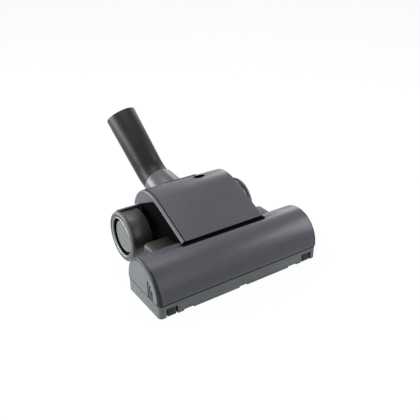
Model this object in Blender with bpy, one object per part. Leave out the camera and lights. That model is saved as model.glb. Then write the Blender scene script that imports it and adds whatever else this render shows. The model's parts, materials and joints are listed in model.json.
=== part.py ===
"""Air-driven turbo brush for a vacuum cleaner, modelled in metres with +Z up.

Blender 4.5 script: blender --background --python part.py

X runs across the brush, Y runs from the front of the hood towards the pipe, and Z is up from the floor.
The places below are measured from the front of the hood (Y), the middle of the brush (X) and the floor (Z).
The empty "brush_frame" then moves everything so that the origin is under the middle of the whole object.
Air enters through the sole, passes the brush roll, blows through the port onto the turbine and leaves
through the tilting neck and the swivelling pipe. The turbine turns the brush roll through a flat belt.
"""

import math

import bmesh
import bpy
from mathutils import Matrix, Vector

# Clearances
SEAT_GAP = 0.0003
RUN_GAP = 0.0006
SEAM_GAP = 0.0006

# Front hood: a half barrel over the brush roll
HOOD_LENGTH = 0.250
HOOD_DEPTH = 0.080
HOOD_AXIS_Z = 0.0225
HOOD_WALL = 0.0024
HOOD_END_ROUND = 0.0026
SEAM_Z = 0.0184
SLOT_WIDTH = 0.0015
SLOT_PITCH = 0.0045
SLOT_FIRST_Y = 0.0165
SLOT_TOPS = (0.0330, 0.0391, 0.0430)
HOOD_HALF = HOOD_LENGTH / 2
HOOD_RADIUS = HOOD_DEPTH / 2
HOOD_AXIS_Y = HOOD_DEPTH / 2
HOOD_TOP = HOOD_AXIS_Z + HOOD_RADIUS

# Sole frame under the hood
SOLE_CLEAR = 0.0004
SOLE_PLATE = 0.0024
SOLE_WALL = 0.0024
SOLE_INSET = 0.0006
SOLE_CORNER = 0.0048
SOLE_REAR_CORNER = 0.0030
MOUTH_HALF = HOOD_HALF - 0.015
MOUTH_FRONT = HOOD_AXIS_Y - 0.020
MOUTH_BACK = HOOD_AXIS_Y + 0.016
NOTCH_RISE = 0.0018
NOTCH_SIDE_X = HOOD_HALF - 0.042
NOTCH_SIDE_WIDTH = 0.014
NOTCH_MIDDLE_WIDTH = 0.012

# Small rollers at the front corners
ROLLER_RADIUS = 0.0044
ROLLER_WIDTH = 0.0072
ROLLER_X = HOOD_HALF - 0.018
ROLLER_Y = 0.0074
CARRIER_WIDTH = 0.0116
CARRIER_FRONT = 0.0012
CARRIER_TOP = 0.0110
RECESS_WIDTH = 0.0156
RECESS_DEPTH = 0.0132
RECESS_HEIGHT = 0.0122
RECESS_WALL = 0.0016
ROLLER_PIN_RADIUS = 0.0012

# Brush roll
TIP_CLEAR = 0.0004
TIP_RADIUS = 0.0242
BRUSH_Y = HOOD_AXIS_Y - 0.003
CORE_RADIUS = 0.0125
CORE_HALF = HOOD_HALF - 0.0165
FLANGE_RADIUS = 0.0160
FLANGE_WIDTH = 0.0015
JOURNAL_RADIUS = 0.0030
BUSH_RADIUS = 0.0060
BUSH_INNER_X = HOOD_HALF - 0.013
BUSH_WIDTH = 0.0060
CRADLE_WALL = 0.0030
ROW_COUNT = 2
ROW_THICKNESS = 0.0036
ROW_TWIST = 1.25
ROW_ROOT = 0.0040
TUFT_PITCH = 0.0080

# Belt drive
BELT_X = -0.053
BELT_WIDTH = 0.0065
BELT_THICKNESS = 0.0014
PULLEY_RADIUS = 0.0150
PULLEY_WIDTH = 0.0085
PULLEY_LIP = 0.0010
PINION_RADIUS = 0.0055

# Turbine
TURBINE_Y = HOOD_DEPTH + 0.018
TURBINE_Z = 0.053
TURBINE_RADIUS = 0.0212
TURBINE_HALF = 0.0345
TURBINE_HUB = 0.0062
TURBINE_DISC = 0.0016
BLADE_COUNT = 11
BLADE_THICKNESS = 0.0014
BLADE_LEAN = 0.62
SHAFT_RADIUS = 0.0020
BEARING_RADIUS = 0.0055
BEARING_WIDTH = 0.0050
CHAMBER_HALF = 0.0365
BAY_WALL = 0.0100
BAY_WIDTH = 0.0120

# Central housing and lid
LID_HALF = 0.0642
LID_THICKNESS = 0.0024
LID_FRONT_Y = HOOD_AXIS_Y + 0.0047
LID_FRONT_Z = HOOD_TOP + 0.0040
LID_LIP = 0.0030
LID_SIDE_BEVEL = 0.0030
LID_FLANGE = 0.0010
CROWN_RADIUS = 0.047
CROWN_Y = HOOD_DEPTH + 0.051
CROWN_Z = 0.100 - CROWN_RADIUS
LID_REAR_ANGLE = math.radians(16)
CHEEK_FRONT_Y = CROWN_Y - 0.014
HINGE_ANGLE = math.radians(8)
KNUCKLE_RADIUS = 0.0032
KNUCKLE_INNER = 0.0335
KNUCKLE_OUTER = 0.0480
HINGE_PIN_RADIUS = 0.0015
LUG_WIDTH = 0.0030
GRIP_HOLE_X = 0.0205
GRIP_HOLE_Y = CROWN_Y + 0.0045
GRIP_HOLE_LENGTH = 0.0172
GRIP_HOLE_WIDTH = 0.0112
GRIP_HOLE_DEPTH = 0.0090
HOUSING_BOTTOM = 0.0090
HOUSING_REAR = HOOD_DEPTH + 0.086
HOUSING_WALL = 0.0024
NECK_CUT_Y = HOOD_DEPTH + 0.072
NECK_CORNER = 0.0012
SEAL_LIFT = 0.0028
STRIP_HALF = 0.066
STRIP_FRONT = HOOD_AXIS_Y + 0.0008
STRIP_TOP = HOOD_TOP + 0.0010
STRIP_CHANNEL = 0.0012
TRAY_THICKNESS = 0.0023
SCREW_RADIUS = 0.0032

# Air ports
PORT_HALF = 0.016
PORT_LOW = 0.0335
PORT_HIGH = 0.0475
DUCT_HALF = 0.014
DUCT_LOW = 0.034
DUCT_HIGH = 0.050

# Shoulders beside the housing
SHOULDER_HALF = 0.0966
SHOULDER_TOP = 0.0531
SHOULDER_BACK = HOOD_DEPTH + 0.013
SHOULDER_LOW = 0.0105
SHOULDER_ROUND = 0.0070
SHOULDER_WALL = 0.0022

# Rear wheels
WHEEL_RADIUS = 0.0356
WHEEL_Y = HOOD_DEPTH + 0.0672
WHEEL_OUTER_X = 0.1004
WHEEL_WIDTH = 0.0308
TYRE_WIDTH = 0.0050
TYRE_HEIGHT = 0.0042
TYRE_ROUND = 0.0026
DRUM_RADIUS = 0.0343
DRUM_WALL = 0.0024
HUB_RECESS_RADIUS = 0.0270
HUB_RECESS_DEPTH = 0.0062
TRIM_WIDTH = 0.0013
HUB_CAP_RADIUS = 0.0228
HUB_CAP_INSET = 0.0026
HUB_CAP_THICKNESS = 0.0018
HUB_BOSS_RADIUS = 0.0080
AXLE_RADIUS = 0.0030
AXLE_GRIP = 0.0100
GUARD_GAP = 0.0006
GUARD_THICKNESS = 0.0015
GUARD_START = math.radians(14)
GUARD_END = math.radians(96)
GUARD_OUTER_X = 0.0938

# Tilting neck and swivelling pipe
TILT_Y = HOOD_DEPTH + 0.070
TILT_Z = 0.0484
NECK_ELEVATION = math.radians(13.8)
NECK_LOW = math.radians(23)
NECK_LENGTH = 0.0713
NECK_RADIUS = 0.0220
NECK_BORE = 0.0200
NECK_BULGE = 0.0269
NECK_PROFILE = ((0.27, 0.0), (0.41, 1.0), (0.63, 1.0), (0.84, 0.69), (0.94, 0.54), (0.98, 0.32))
TILT_DRUM_RADIUS = 0.0245
TILT_DRUM_HALF = 0.0260
TRUNNION_RADIUS = 0.0050
TRUNNION_END = 0.0350
PIPE_LEAN = math.radians(13.8)
PIPE_BEND = math.radians(36.8)
PIPE_LENGTH = 0.1067
PIPE_MOUTH_RADIUS = 0.0234
PIPE_BORE = 0.0176
PIPE_MOUTH_BORE = 0.0196
PIPE_SOCKET = 0.045
PIPE_CHAMFER = 0.0010
ELBOW_RADIUS = 0.0500
SPIGOT_RADIUS = 0.0184
SPIGOT_BORE = 0.0164
SPIGOT_LENGTH = 0.0180
SPIGOT_LIP = 0.0010
SPIGOT_LIP_LENGTH = 0.0020
SEAL_WIDTH = 0.0040

# Facets
HOOD_SEGMENTS = 30
CROWN_SEGMENTS = 18
WHEEL_SEGMENTS = 32
PIPE_SEGMENTS = 32
SMALL_SEGMENTS = 12
BORE_SEGMENTS = 20

# Sizes that follow from the ones above
HOOD_BOTTOM = SEAM_Z + SEAM_GAP / 2
SOLE_TOP = SEAM_Z - SEAM_GAP / 2
SOLE_HALF = HOOD_HALF - SOLE_INSET
SOLE_FLOOR = SOLE_CLEAR + SOLE_PLATE
BRUSH_Z = TIP_CLEAR + TIP_RADIUS
TURBINE_CHAMBER = TURBINE_RADIUS + RUN_GAP * 2
BEARING_X = CHAMBER_HALF + BAY_WALL / 2
BAY_INNER = CHAMBER_HALF + BAY_WALL
BAY_OUTER = BAY_INNER + BAY_WIDTH
HOUSING_HALF = LID_HALF - LID_THICKNESS - SEAT_GAP
HOUSING_FRONT = HOOD_DEPTH + SEAT_GAP
HOUSING_ARC = HOOD_RADIUS + SEAT_GAP
TILT_CHAMBER = TILT_DRUM_RADIUS + RUN_GAP
NECK_SLOT = NECK_BULGE + RUN_GAP * 2
WHEEL_Z = WHEEL_RADIUS
SOCKET_END = TRUNNION_END + RUN_GAP

# Directions of the neck and the pipe
NECK_DIR = Vector((0, math.cos(NECK_ELEVATION), math.sin(NECK_ELEVATION)))
NECK_UP = Vector((0, -math.sin(NECK_ELEVATION), math.cos(NECK_ELEVATION)))
PIPE_SIDE = math.cos(PIPE_LEAN) * NECK_UP - math.sin(PIPE_LEAN) * Vector((1, 0, 0))
PIPE_DIR = math.cos(PIPE_BEND) * NECK_DIR + math.sin(PIPE_BEND) * PIPE_SIDE
TILT_POINT = Vector((0, TILT_Y, TILT_Z))
SWIVEL_POINT = TILT_POINT + NECK_LENGTH * NECK_DIR
ELBOW_TANGENT = ELBOW_RADIUS * math.tan(PIPE_BEND / 2)
PIPE_CORNER = SWIVEL_POINT + ELBOW_TANGENT * NECK_DIR
PIPE_MOUTH = PIPE_CORNER + PIPE_LENGTH * PIPE_DIR
REACH = PIPE_MOUTH.y + PIPE_MOUTH_RADIUS * math.sqrt(1 - PIPE_DIR.y**2)

# Joint places
BRUSH_POINT = Vector((0, BRUSH_Y, BRUSH_Z))
TURBINE_POINT = Vector((0, TURBINE_Y, TURBINE_Z))
HINGE_RADIUS = CROWN_RADIUS - LID_THICKNESS / 2
HINGE_Y = CROWN_Y + HINGE_RADIUS * math.cos(HINGE_ANGLE)
HINGE_POINT = Vector((0, HINGE_Y, CROWN_Z + HINGE_RADIUS * math.sin(HINGE_ANGLE)))


def clear_scene():
    for thing in list(bpy.data.objects):
        bpy.data.objects.remove(thing, do_unlink=True)


def finish(name, colour, roughness, metallic=0.0):
    """A plain Principled BSDF material."""
    material = bpy.data.materials.new(name)
    material.use_nodes = True
    shader = material.node_tree.nodes["Principled BSDF"]
    shader.inputs["Base Color"].default_value = (*colour, 1.0)
    shader.inputs["Roughness"].default_value = roughness
    shader.inputs["Metallic"].default_value = metallic
    return material


def axis_empty(name, place, parent=None, parent_place=Vector((0, 0, 0))):
    empty = bpy.data.objects.new(name, None)
    bpy.context.scene.collection.objects.link(empty)
    empty.parent = parent
    empty.location = Vector(place) - parent_place
    return empty, Vector(place)


def add(name, shape, material, body):
    """Make an object of a bmesh drawn in frame places, with its origin on its body's axis."""
    empty, place = body
    bmesh.ops.recalc_face_normals(shape, faces=shape.faces)
    bmesh.ops.translate(shape, verts=shape.verts, vec=-place)
    mesh = bpy.data.meshes.new(name)
    shape.to_mesh(mesh)
    shape.free()
    mesh.shade_smooth()
    mesh.set_sharp_from_angle(angle=math.radians(35))
    if material:
        mesh.materials.append(material)
    thing = bpy.data.objects.new(name, mesh)
    bpy.context.scene.collection.objects.link(thing)
    thing.parent = empty
    return thing


def combine(target, shape, operation, body):
    """Cut a shape from the target or join it on, with a Boolean modifier and a hidden tool."""
    tool = add(f"{target.name}_tool", shape, None, body)
    tool.hide_render = True
    tool.display_type = "WIRE"
    modifier = target.modifiers.new(operation.title(), "BOOLEAN")
    modifier.operation = operation
    modifier.object = tool


def cut(target, shape, body):
    combine(target, shape, "DIFFERENCE", body)


def join(target, shape, body):
    combine(target, shape, "UNION", body)


def prism(points, direction):
    """A closed prism from a flat outline of points, extruded along a direction."""
    shape = bmesh.new()
    base = shape.faces.new([shape.verts.new(point) for point in points])
    grown = bmesh.ops.extrude_face_region(shape, geom=[base])
    moved = [item for item in grown["geom"] if isinstance(item, bmesh.types.BMVert)]
    bmesh.ops.translate(shape, verts=moved, vec=direction)
    return shape


def prism_x(outline, low, high):
    return prism([(low, y, z) for y, z in outline], Vector((high - low, 0, 0)))


def prism_z(outline, low, high):
    return prism([(x, y, low) for x, y in outline], Vector((0, 0, high - low)))


def box(x_low, x_high, y_low, y_high, z_low, z_high):
    corners = [(x_low, y_low), (x_high, y_low), (x_high, y_high), (x_low, y_high)]
    return prism_z(corners, z_low, z_high)


def arc(centre, radius, start, end, steps):
    """Points on an arc in a plane, with angles from the first axis towards the second."""
    angles = [start + (end - start) * step / steps for step in range(steps + 1)]
    return [(centre[0] + radius * math.cos(a), centre[1] + radius * math.sin(a)) for a in angles]


def rounded_rectangle(x_low, x_high, y_low, y_high, radius, steps=5, back_radius=None):
    """A rectangle with round corners, which may have another radius at the back."""
    points = []
    front_radius = radius
    corners = [(x_high, y_high, 0), (x_low, y_high, 1), (x_low, y_low, 2), (x_high, y_low, 3)]
    for x, y, turn in corners:
        radius = back_radius if back_radius and y == y_high else front_radius
        x_centre = x - radius if x == x_high else x + radius
        y_centre = y - radius if y == y_high else y + radius
        start = turn * math.pi / 2
        points += arc((x_centre, y_centre), radius, start, start + math.pi / 2, steps)
    return points


def lathe(profile, start, direction, segments):
    """A closed body turned about an axis, from a closed profile of (distance along, radius)."""
    axis = Vector(direction).normalized()
    side = axis.cross(Vector((0, 1, 0))).normalized()
    other = axis.cross(side)
    shape = bmesh.new()
    rings = []
    for along, radius in profile:
        centre = Vector(start) + axis * along
        if radius == 0:
            rings.append([shape.verts.new(centre)])
            continue
        ring = []
        for step in range(segments):
            angle = 2 * math.pi * step / segments
            ring.append(shape.verts.new(centre + radius * (math.cos(angle) * side + math.sin(angle) * other)))
        rings.append(ring)
    stitch(shape, rings, rings[0] is not rings[-1] and len(rings[0]) > 1 and len(rings[-1]) > 1)
    return shape


def stitch(shape, rings, closed):
    """Faces between neighbouring rings, and between the last and the first where closed."""
    pairs = list(zip(rings, rings[1:]))
    if closed:
        pairs.append((rings[-1], rings[0]))
    for first, second in pairs:
        count = max(len(first), len(second))
        for step in range(count):
            after = (step + 1) % count
            corners = [first[step % len(first)], first[after % len(first)]]
            corners += [second[after % len(second)], second[step % len(second)]]
            unique = list(dict.fromkeys(corners))
            if len(unique) > 2:
                shape.faces.new(unique)


def cylinder(start, direction, length, radius, segments=BORE_SEGMENTS):
    return lathe([(0, 0), (0, radius), (length, radius), (length, 0)], start, direction, segments)


def stepped_cylinder(half, radius, neck_half, neck_radius, segments):
    """A cross cylinder about the tilt axis with a thinner end on each side."""
    profile = [(half, radius), (half, neck_radius), (neck_half, neck_radius), (neck_half, 0)]
    profile = [(-x, r) for x, r in reversed(profile)] + profile
    return lathe(profile, TILT_POINT, (1, 0, 0), segments)


def ring_x(x_low, x_high, y, z, inner, outer, segments=BORE_SEGMENTS):
    profile = [(0, inner), (0, outer), (x_high - x_low, outer), (x_high - x_low, inner)]
    return lathe(profile, (x_low, y, z), (1, 0, 0), segments)


def cylinder_x(x_low, x_high, y, z, radius, segments=BORE_SEGMENTS):
    return cylinder((x_low, y, z), (1, 0, 0), x_high - x_low, radius, segments)


def hood_outline(radius, bottom):
    """The hood's section: a half circle standing on straight sides."""
    sides = arc((HOOD_AXIS_Y, HOOD_AXIS_Z), radius, 0, math.pi, HOOD_SEGMENTS)
    return [(HOOD_AXIS_Y + radius, bottom), *sides, (HOOD_AXIS_Y - radius, bottom)]


def front_hood(material, root):
    half = HOOD_LENGTH / 2
    shape = prism_x(hood_outline(HOOD_RADIUS, HOOD_BOTTOM), -half, half)
    rim = []
    for edge in shape.edges:
        ends = [vert.co for vert in edge.verts]
        on_end = all(abs(abs(co.x) - half) < SEAT_GAP for co in ends) and abs(ends[0].x - ends[1].x) < SEAT_GAP
        if on_end and max(co.z for co in ends) > HOOD_BOTTOM + SEAT_GAP:
            rim.append(edge)
    bmesh.ops.bevel(shape, geom=rim, offset=HOOD_END_ROUND, segments=4, profile=0.5, affect="EDGES")
    hood = add("front_hood", shape, material, root)
    inner = prism_x(
        hood_outline(HOOD_RADIUS - HOOD_WALL, HOOD_BOTTOM - HOOD_WALL), -half + HOOD_WALL, half - HOOD_WALL
    )
    cut(hood, inner, root)
    for index, top in enumerate(SLOT_TOPS):
        y = SLOT_FIRST_Y + index * SLOT_PITCH
        low = y - SLOT_WIDTH / 2
        high = y + SLOT_WIDTH / 2
        slot = box(-half - HOOD_WALL, -half + 2 * HOOD_WALL, low, high, HOOD_BOTTOM - HOOD_WALL, top)
        cut(hood, slot, root)
    back = HOOD_DEPTH + HOOD_WALL
    window_low = BRUSH_Z
    window_high = TURBINE_Z + SEAT_GAP
    belt_window = box(-BAY_OUTER, -BAY_INNER, HOOD_AXIS_Y + HOOD_RADIUS / 2, back, window_low, window_high)
    cut(hood, belt_window, root)
    port = box(-PORT_HALF, PORT_HALF, HOOD_AXIS_Y + HOOD_RADIUS / 2, back, PORT_LOW, PORT_HIGH)
    cut(hood, port, root)
    channel_half = STRIP_HALF + SEAT_GAP
    channel = box(
        -channel_half, channel_half, STRIP_FRONT - SEAT_GAP, LID_FRONT_Y + LID_LIP + SEAT_GAP,
        HOOD_TOP - STRIP_CHANNEL, HOOD_TOP + HOOD_WALL,
    )
    cut(hood, channel, root)
    return hood


def gap_strip(material, root):
    """The soft strip in the hood's channel, which the lid's front edge closes on."""
    back = LID_FRONT_Y + LID_LIP
    width = back - STRIP_FRONT
    outline = rounded_rectangle(-STRIP_HALF, STRIP_HALF, STRIP_FRONT, back, width * 0.45, 4)
    shape = prism_z(outline, HOOD_TOP - STRIP_CHANNEL + SEAT_GAP, STRIP_TOP)
    return add("gap_strip", shape, material, root)


def sole_frame(material, root):
    front = SOLE_INSET
    back = HOOD_DEPTH - SOLE_INSET
    outline = rounded_rectangle(-SOLE_HALF, SOLE_HALF, front, back, SOLE_CORNER, 5, SOLE_REAR_CORNER)
    sole = add("sole_frame", prism_z(outline, SOLE_CLEAR, SOLE_TOP), material, root)
    inside = rounded_rectangle(
        -SOLE_HALF + SOLE_WALL, SOLE_HALF - SOLE_WALL, front + SOLE_WALL, back - SOLE_WALL, SOLE_CORNER - SOLE_WALL
    )
    cut(sole, prism_z(inside, SOLE_FLOOR, SOLE_TOP + SOLE_WALL), root)
    mouth = rounded_rectangle(-MOUTH_HALF, MOUTH_HALF, MOUTH_FRONT, MOUTH_BACK, SOLE_WALL)
    cut(sole, prism_z(mouth, SOLE_CLEAR - SOLE_WALL, SOLE_FLOOR + SOLE_WALL), root)
    cradle_top = BRUSH_Z + BUSH_RADIUS + CRADLE_WALL
    for side in (-1, 1):
        recess_mid = side * ROLLER_X
        half = RECESS_WIDTH / 2 + RECESS_WALL
        block = box(
            recess_mid - half, recess_mid + half, front + SOLE_WALL / 2, RECESS_DEPTH + RECESS_WALL,
            SOLE_CLEAR + SOLE_PLATE / 2, RECESS_HEIGHT + RECESS_WALL,
        )
        join(sole, block, root)
        recess = box(
            recess_mid - RECESS_WIDTH / 2, recess_mid + RECESS_WIDTH / 2, -SOLE_WALL, RECESS_DEPTH,
            SOLE_CLEAR - SOLE_WALL, RECESS_HEIGHT,
        )
        cut(sole, recess, root)
        cradle_in = side * (BUSH_INNER_X + SEAT_GAP)
        cradle_out = side * (BUSH_INNER_X + BUSH_WIDTH - SEAT_GAP)
        cradle_half = BUSH_RADIUS + CRADLE_WALL
        cradle = box(
            min(cradle_in, cradle_out), max(cradle_in, cradle_out), BRUSH_Y - cradle_half, BRUSH_Y + cradle_half,
            SOLE_CLEAR + SOLE_PLATE / 2, cradle_top,
        )
        join(sole, cradle, root)
        bore = cylinder_x(
            min(cradle_in, cradle_out) - CRADLE_WALL, max(cradle_in, cradle_out) + CRADLE_WALL, BRUSH_Y, BRUSH_Z,
            BUSH_RADIUS + SEAT_GAP,
        )
        cut(sole, bore, root)
        notch_low = side * NOTCH_SIDE_X - NOTCH_SIDE_WIDTH / 2
        notch = box(
            notch_low, notch_low + NOTCH_SIDE_WIDTH, -SOLE_WALL, front + SOLE_WALL + SEAT_GAP,
            SOLE_CLEAR - SOLE_WALL, SOLE_CLEAR + NOTCH_RISE,
        )
        cut(sole, notch, root)
    middle = box(
        -NOTCH_MIDDLE_WIDTH / 2, NOTCH_MIDDLE_WIDTH / 2, -SOLE_WALL, front + SOLE_WALL + SEAT_GAP,
        SOLE_CLEAR - SOLE_WALL, SOLE_CLEAR + NOTCH_RISE,
    )
    cut(sole, middle, root)
    return sole


def front_roller(side, name, material, carrier_material, pin_material, body, root):
    """A small roller on a pin in a carrier block, which fills most of the recess in the corner."""
    middle = side * ROLLER_X
    half = ROLLER_WIDTH / 2
    bore = ROLLER_PIN_RADIUS + SEAT_GAP
    add(f"front_roller_{name}", ring_x(
        middle - half, middle + half, ROLLER_Y, ROLLER_RADIUS, bore, ROLLER_RADIUS
    ), material, body)
    outer = CARRIER_WIDTH / 2
    back = RECESS_DEPTH - SEAT_GAP
    profile = rounded_rectangle(CARRIER_FRONT, back, SOLE_CLEAR, CARRIER_TOP, SEAT_GAP * 2, 2)
    carrier = add(
        f"roller_carrier_{name}", prism_x(profile, middle - outer, middle + outer), carrier_material, root
    )
    slot_half = half + RUN_GAP
    slot_reach = ROLLER_RADIUS + RUN_GAP
    slot = box(
        middle - slot_half, middle + slot_half, ROLLER_Y - slot_reach, ROLLER_Y + slot_reach,
        SOLE_CLEAR - SOLE_WALL, 2 * ROLLER_RADIUS + RUN_GAP,
    )
    cut(carrier, slot, root)
    cut(carrier, cylinder_x(
        middle - CARRIER_WIDTH, middle + CARRIER_WIDTH, ROLLER_Y, ROLLER_RADIUS, bore, SMALL_SEGMENTS
    ), root)
    pin_half = outer - SEAT_GAP
    pin = cylinder_x(
        middle - pin_half, middle + pin_half, ROLLER_Y, ROLLER_RADIUS, ROLLER_PIN_RADIUS, SMALL_SEGMENTS
    )
    add(f"roller_pin_{name}", pin, pin_material, root)


def brush_core(material, body):
    """The roll: a core with a thread guard and a journal at each end."""
    end = CORE_HALF
    journal_end = BUSH_INNER_X + BUSH_WIDTH - SEAT_GAP
    half_profile = [
        (end - FLANGE_WIDTH, CORE_RADIUS), (end - FLANGE_WIDTH, FLANGE_RADIUS), (end, FLANGE_RADIUS),
        (end, JOURNAL_RADIUS), (journal_end, JOURNAL_RADIUS), (journal_end, 0),
    ]
    profile = [(-x, r) for x, r in reversed(half_profile)] + half_profile
    return add("brush_core", lathe(profile, BRUSH_POINT, (1, 0, 0), 24), material, body)


def bristle_row(name, turn, x_low, x_high, material, body):
    """One helical row of tufts on a low root strip, wrapped round the core."""
    tufts = max(1, round((x_high - x_low) / TUFT_PITCH))
    pitch = (x_high - x_low) / tufts
    root_radius = CORE_RADIUS + SEAT_GAP
    low = root_radius + ROW_ROOT
    stations = []
    for tuft in range(tufts):
        start = x_low + tuft * pitch
        stations += [(start + pitch * 0.06, low), (start + pitch * 0.14, TIP_RADIUS)]
        stations += [(start + pitch * 0.86, TIP_RADIUS), (start + pitch * 0.94, low)]
    shape = bmesh.new()
    rings = []
    for x, radius in stations:
        angle = turn + ROW_TWIST * x / CORE_HALF * math.pi / 2
        ring = []
        for reach, offset in ((root_radius, -0.5), (radius, -0.5), (radius, 0.5), (root_radius, 0.5)):
            spread = offset * ROW_THICKNESS / root_radius
            if reach > root_radius:
                spread = offset * ROW_THICKNESS / reach
            y = BRUSH_Y + reach * math.cos(angle + spread)
            z = BRUSH_Z + reach * math.sin(angle + spread)
            ring.append(shape.verts.new((x, y, z)))
        rings.append(ring)
    stitch(shape, rings, False)
    shape.faces.new(rings[0])
    shape.faces.new(rings[-1])
    return add(name, shape, material, body)


def brush_rows(material, body):
    belt_low = BELT_X - PULLEY_WIDTH / 2 - RUN_GAP * 2
    belt_high = BELT_X + PULLEY_WIDTH / 2 + RUN_GAP * 2
    end = CORE_HALF - FLANGE_WIDTH - SEAT_GAP
    for index in range(ROW_COUNT):
        turn = 2 * math.pi * index / ROW_COUNT + 0.4
        bristle_row(f"bristle_row_{index + 1}_left", turn, -end, belt_low, material, body)
        bristle_row(f"bristle_row_{index + 1}_right", turn, belt_high, end, material, body)


def flanged_pulley(name, x, y, z, bore, radius, segments, material, body):
    """A crowned pulley between two lips."""
    half = PULLEY_WIDTH / 2
    face = BELT_WIDTH / 2 + SEAT_GAP
    lip = radius + PULLEY_LIP
    profile = [
        (-half, bore), (-half, lip), (-face, lip), (-face, radius), (face, radius), (face, lip), (half, lip),
        (half, bore),
    ]
    return add(name, lathe(profile, (x, y, z), (1, 0, 0), segments), material, body)


def drive_belt(material, root):
    """A flat belt round the turbine pinion and the brush pulley."""
    small = Vector((TURBINE_Y, TURBINE_Z))
    large = Vector((BRUSH_Y, BRUSH_Z))
    between = small - large
    span = between.length
    along = math.atan2(between.y, between.x)
    inner_small = PINION_RADIUS + SEAT_GAP
    inner_large = PULLEY_RADIUS + SEAT_GAP
    wrap = math.asin((inner_large - inner_small) / span)

    def loop(extra):
        small_side = arc(
            small, inner_small + extra, along - math.pi / 2 - wrap + 2 * wrap, along + math.pi / 2 - wrap, 10
        )
        large_side = arc(large, inner_large + extra, along + math.pi / 2 - wrap, along + 3 * math.pi / 2 + wrap, 16)
        return small_side + large_side

    shape = bmesh.new()
    rings = []
    for extra, x in ((0, -0.5), (BELT_THICKNESS, -0.5), (BELT_THICKNESS, 0.5), (0, 0.5)):
        rings.append([shape.verts.new((BELT_X + x * BELT_WIDTH, y, z)) for y, z in loop(extra)])
    stitch(shape, rings, True)
    return add("drive_belt", shape, material, root)


def blade_outline():
    """The turbine's section: a hub with curved blades that lean against the air."""
    points = []
    step = 2 * math.pi / BLADE_COUNT
    for blade in range(BLADE_COUNT):
        middle = blade * step
        front = []
        back = []
        for share in (0.0, 0.35, 0.7, 1.0):
            radius = TURBINE_HUB + (TURBINE_RADIUS - TURBINE_HUB) * share
            lean = BLADE_LEAN * share**1.6
            spread = BLADE_THICKNESS / 2 / radius * (1.5 - 0.7 * share)
            front.append((radius, middle + lean - spread))
            back.append((radius, middle + lean + spread))
        points += front + back[::-1]
        points.append((TURBINE_HUB, middle + step / 2))
    return [(TURBINE_Y + r * math.cos(a), TURBINE_Z + r * math.sin(a)) for r, a in points]


def turbine_wheel(material, body):
    shape = prism_x(blade_outline(), -TURBINE_HALF, TURBINE_HALF)
    wheel = add("turbine_wheel", shape, material, body)
    for x in (-TURBINE_HALF, -TURBINE_DISC / 2, TURBINE_HALF - TURBINE_DISC):
        low = x
        if x == -TURBINE_HALF:
            low = x - SEAT_GAP
        high = x + TURBINE_DISC
        if x > 0:
            high += SEAT_GAP
        disc = cylinder_x(low, high, TURBINE_Y, TURBINE_Z, TURBINE_RADIUS + SEAT_GAP, 32)
        join(wheel, disc, body)
    bore = SHAFT_RADIUS + SEAT_GAP
    cut(wheel, cylinder_x(-HOUSING_HALF, HOUSING_HALF, TURBINE_Y, TURBINE_Z, bore, SMALL_SEGMENTS), body)
    return wheel


def turbine_shaft(material, body):
    low = BELT_X - PULLEY_WIDTH / 2 - RUN_GAP
    high = BEARING_X + BEARING_WIDTH / 2
    shaft = cylinder_x(low, high, TURBINE_Y, TURBINE_Z, SHAFT_RADIUS, SMALL_SEGMENTS)
    return add("turbine_shaft", shaft, material, body)


def turbine_bearing(side, name, material, root):
    middle = side * BEARING_X
    half = BEARING_WIDTH / 2
    bearing = ring_x(
        middle - half, middle + half, TURBINE_Y, TURBINE_Z, SHAFT_RADIUS + SEAT_GAP, BEARING_RADIUS, SMALL_SEGMENTS
    )
    return add(f"turbine_bearing_{name}", bearing, material, root)


def brush_bush(side, name, material, root):
    low = min(side * BUSH_INNER_X, side * (BUSH_INNER_X + BUSH_WIDTH))
    bush = ring_x(low, low + BUSH_WIDTH, BRUSH_Y, BRUSH_Z, JOURNAL_RADIUS + SEAT_GAP, BUSH_RADIUS, SMALL_SEGMENTS)
    return add(f"brush_bush_{name}", bush, material, root)


def slope_tangent(front, radius):
    """Where a straight line from the lid's front touches the crown circle, and its angle."""
    centre = Vector((CROWN_Y, CROWN_Z))
    between = centre - Vector(front)
    slope = math.atan2(between.y, between.x) + math.asin(radius / between.length)
    touch = (centre.x - radius * math.sin(slope), centre.y + radius * math.cos(slope))
    return touch, slope


LID_FRONT = (LID_FRONT_Y, LID_FRONT_Z)
LID_TOUCH, LID_SLOPE = slope_tangent(LID_FRONT, CROWN_RADIUS)


def under_lid(depth, y):
    """Height of the surface that lies a depth under the lid's straight slope, at a place along Y."""
    return LID_FRONT_Z + (y - LID_FRONT_Y) * math.tan(LID_SLOPE) - depth / math.cos(LID_SLOPE)


def crown_arc(depth, end_angle, steps=CROWN_SEGMENTS):
    start = math.pi / 2 + LID_SLOPE
    return arc((CROWN_Y, CROWN_Z), CROWN_RADIUS - depth, start, end_angle, steps)


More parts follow.
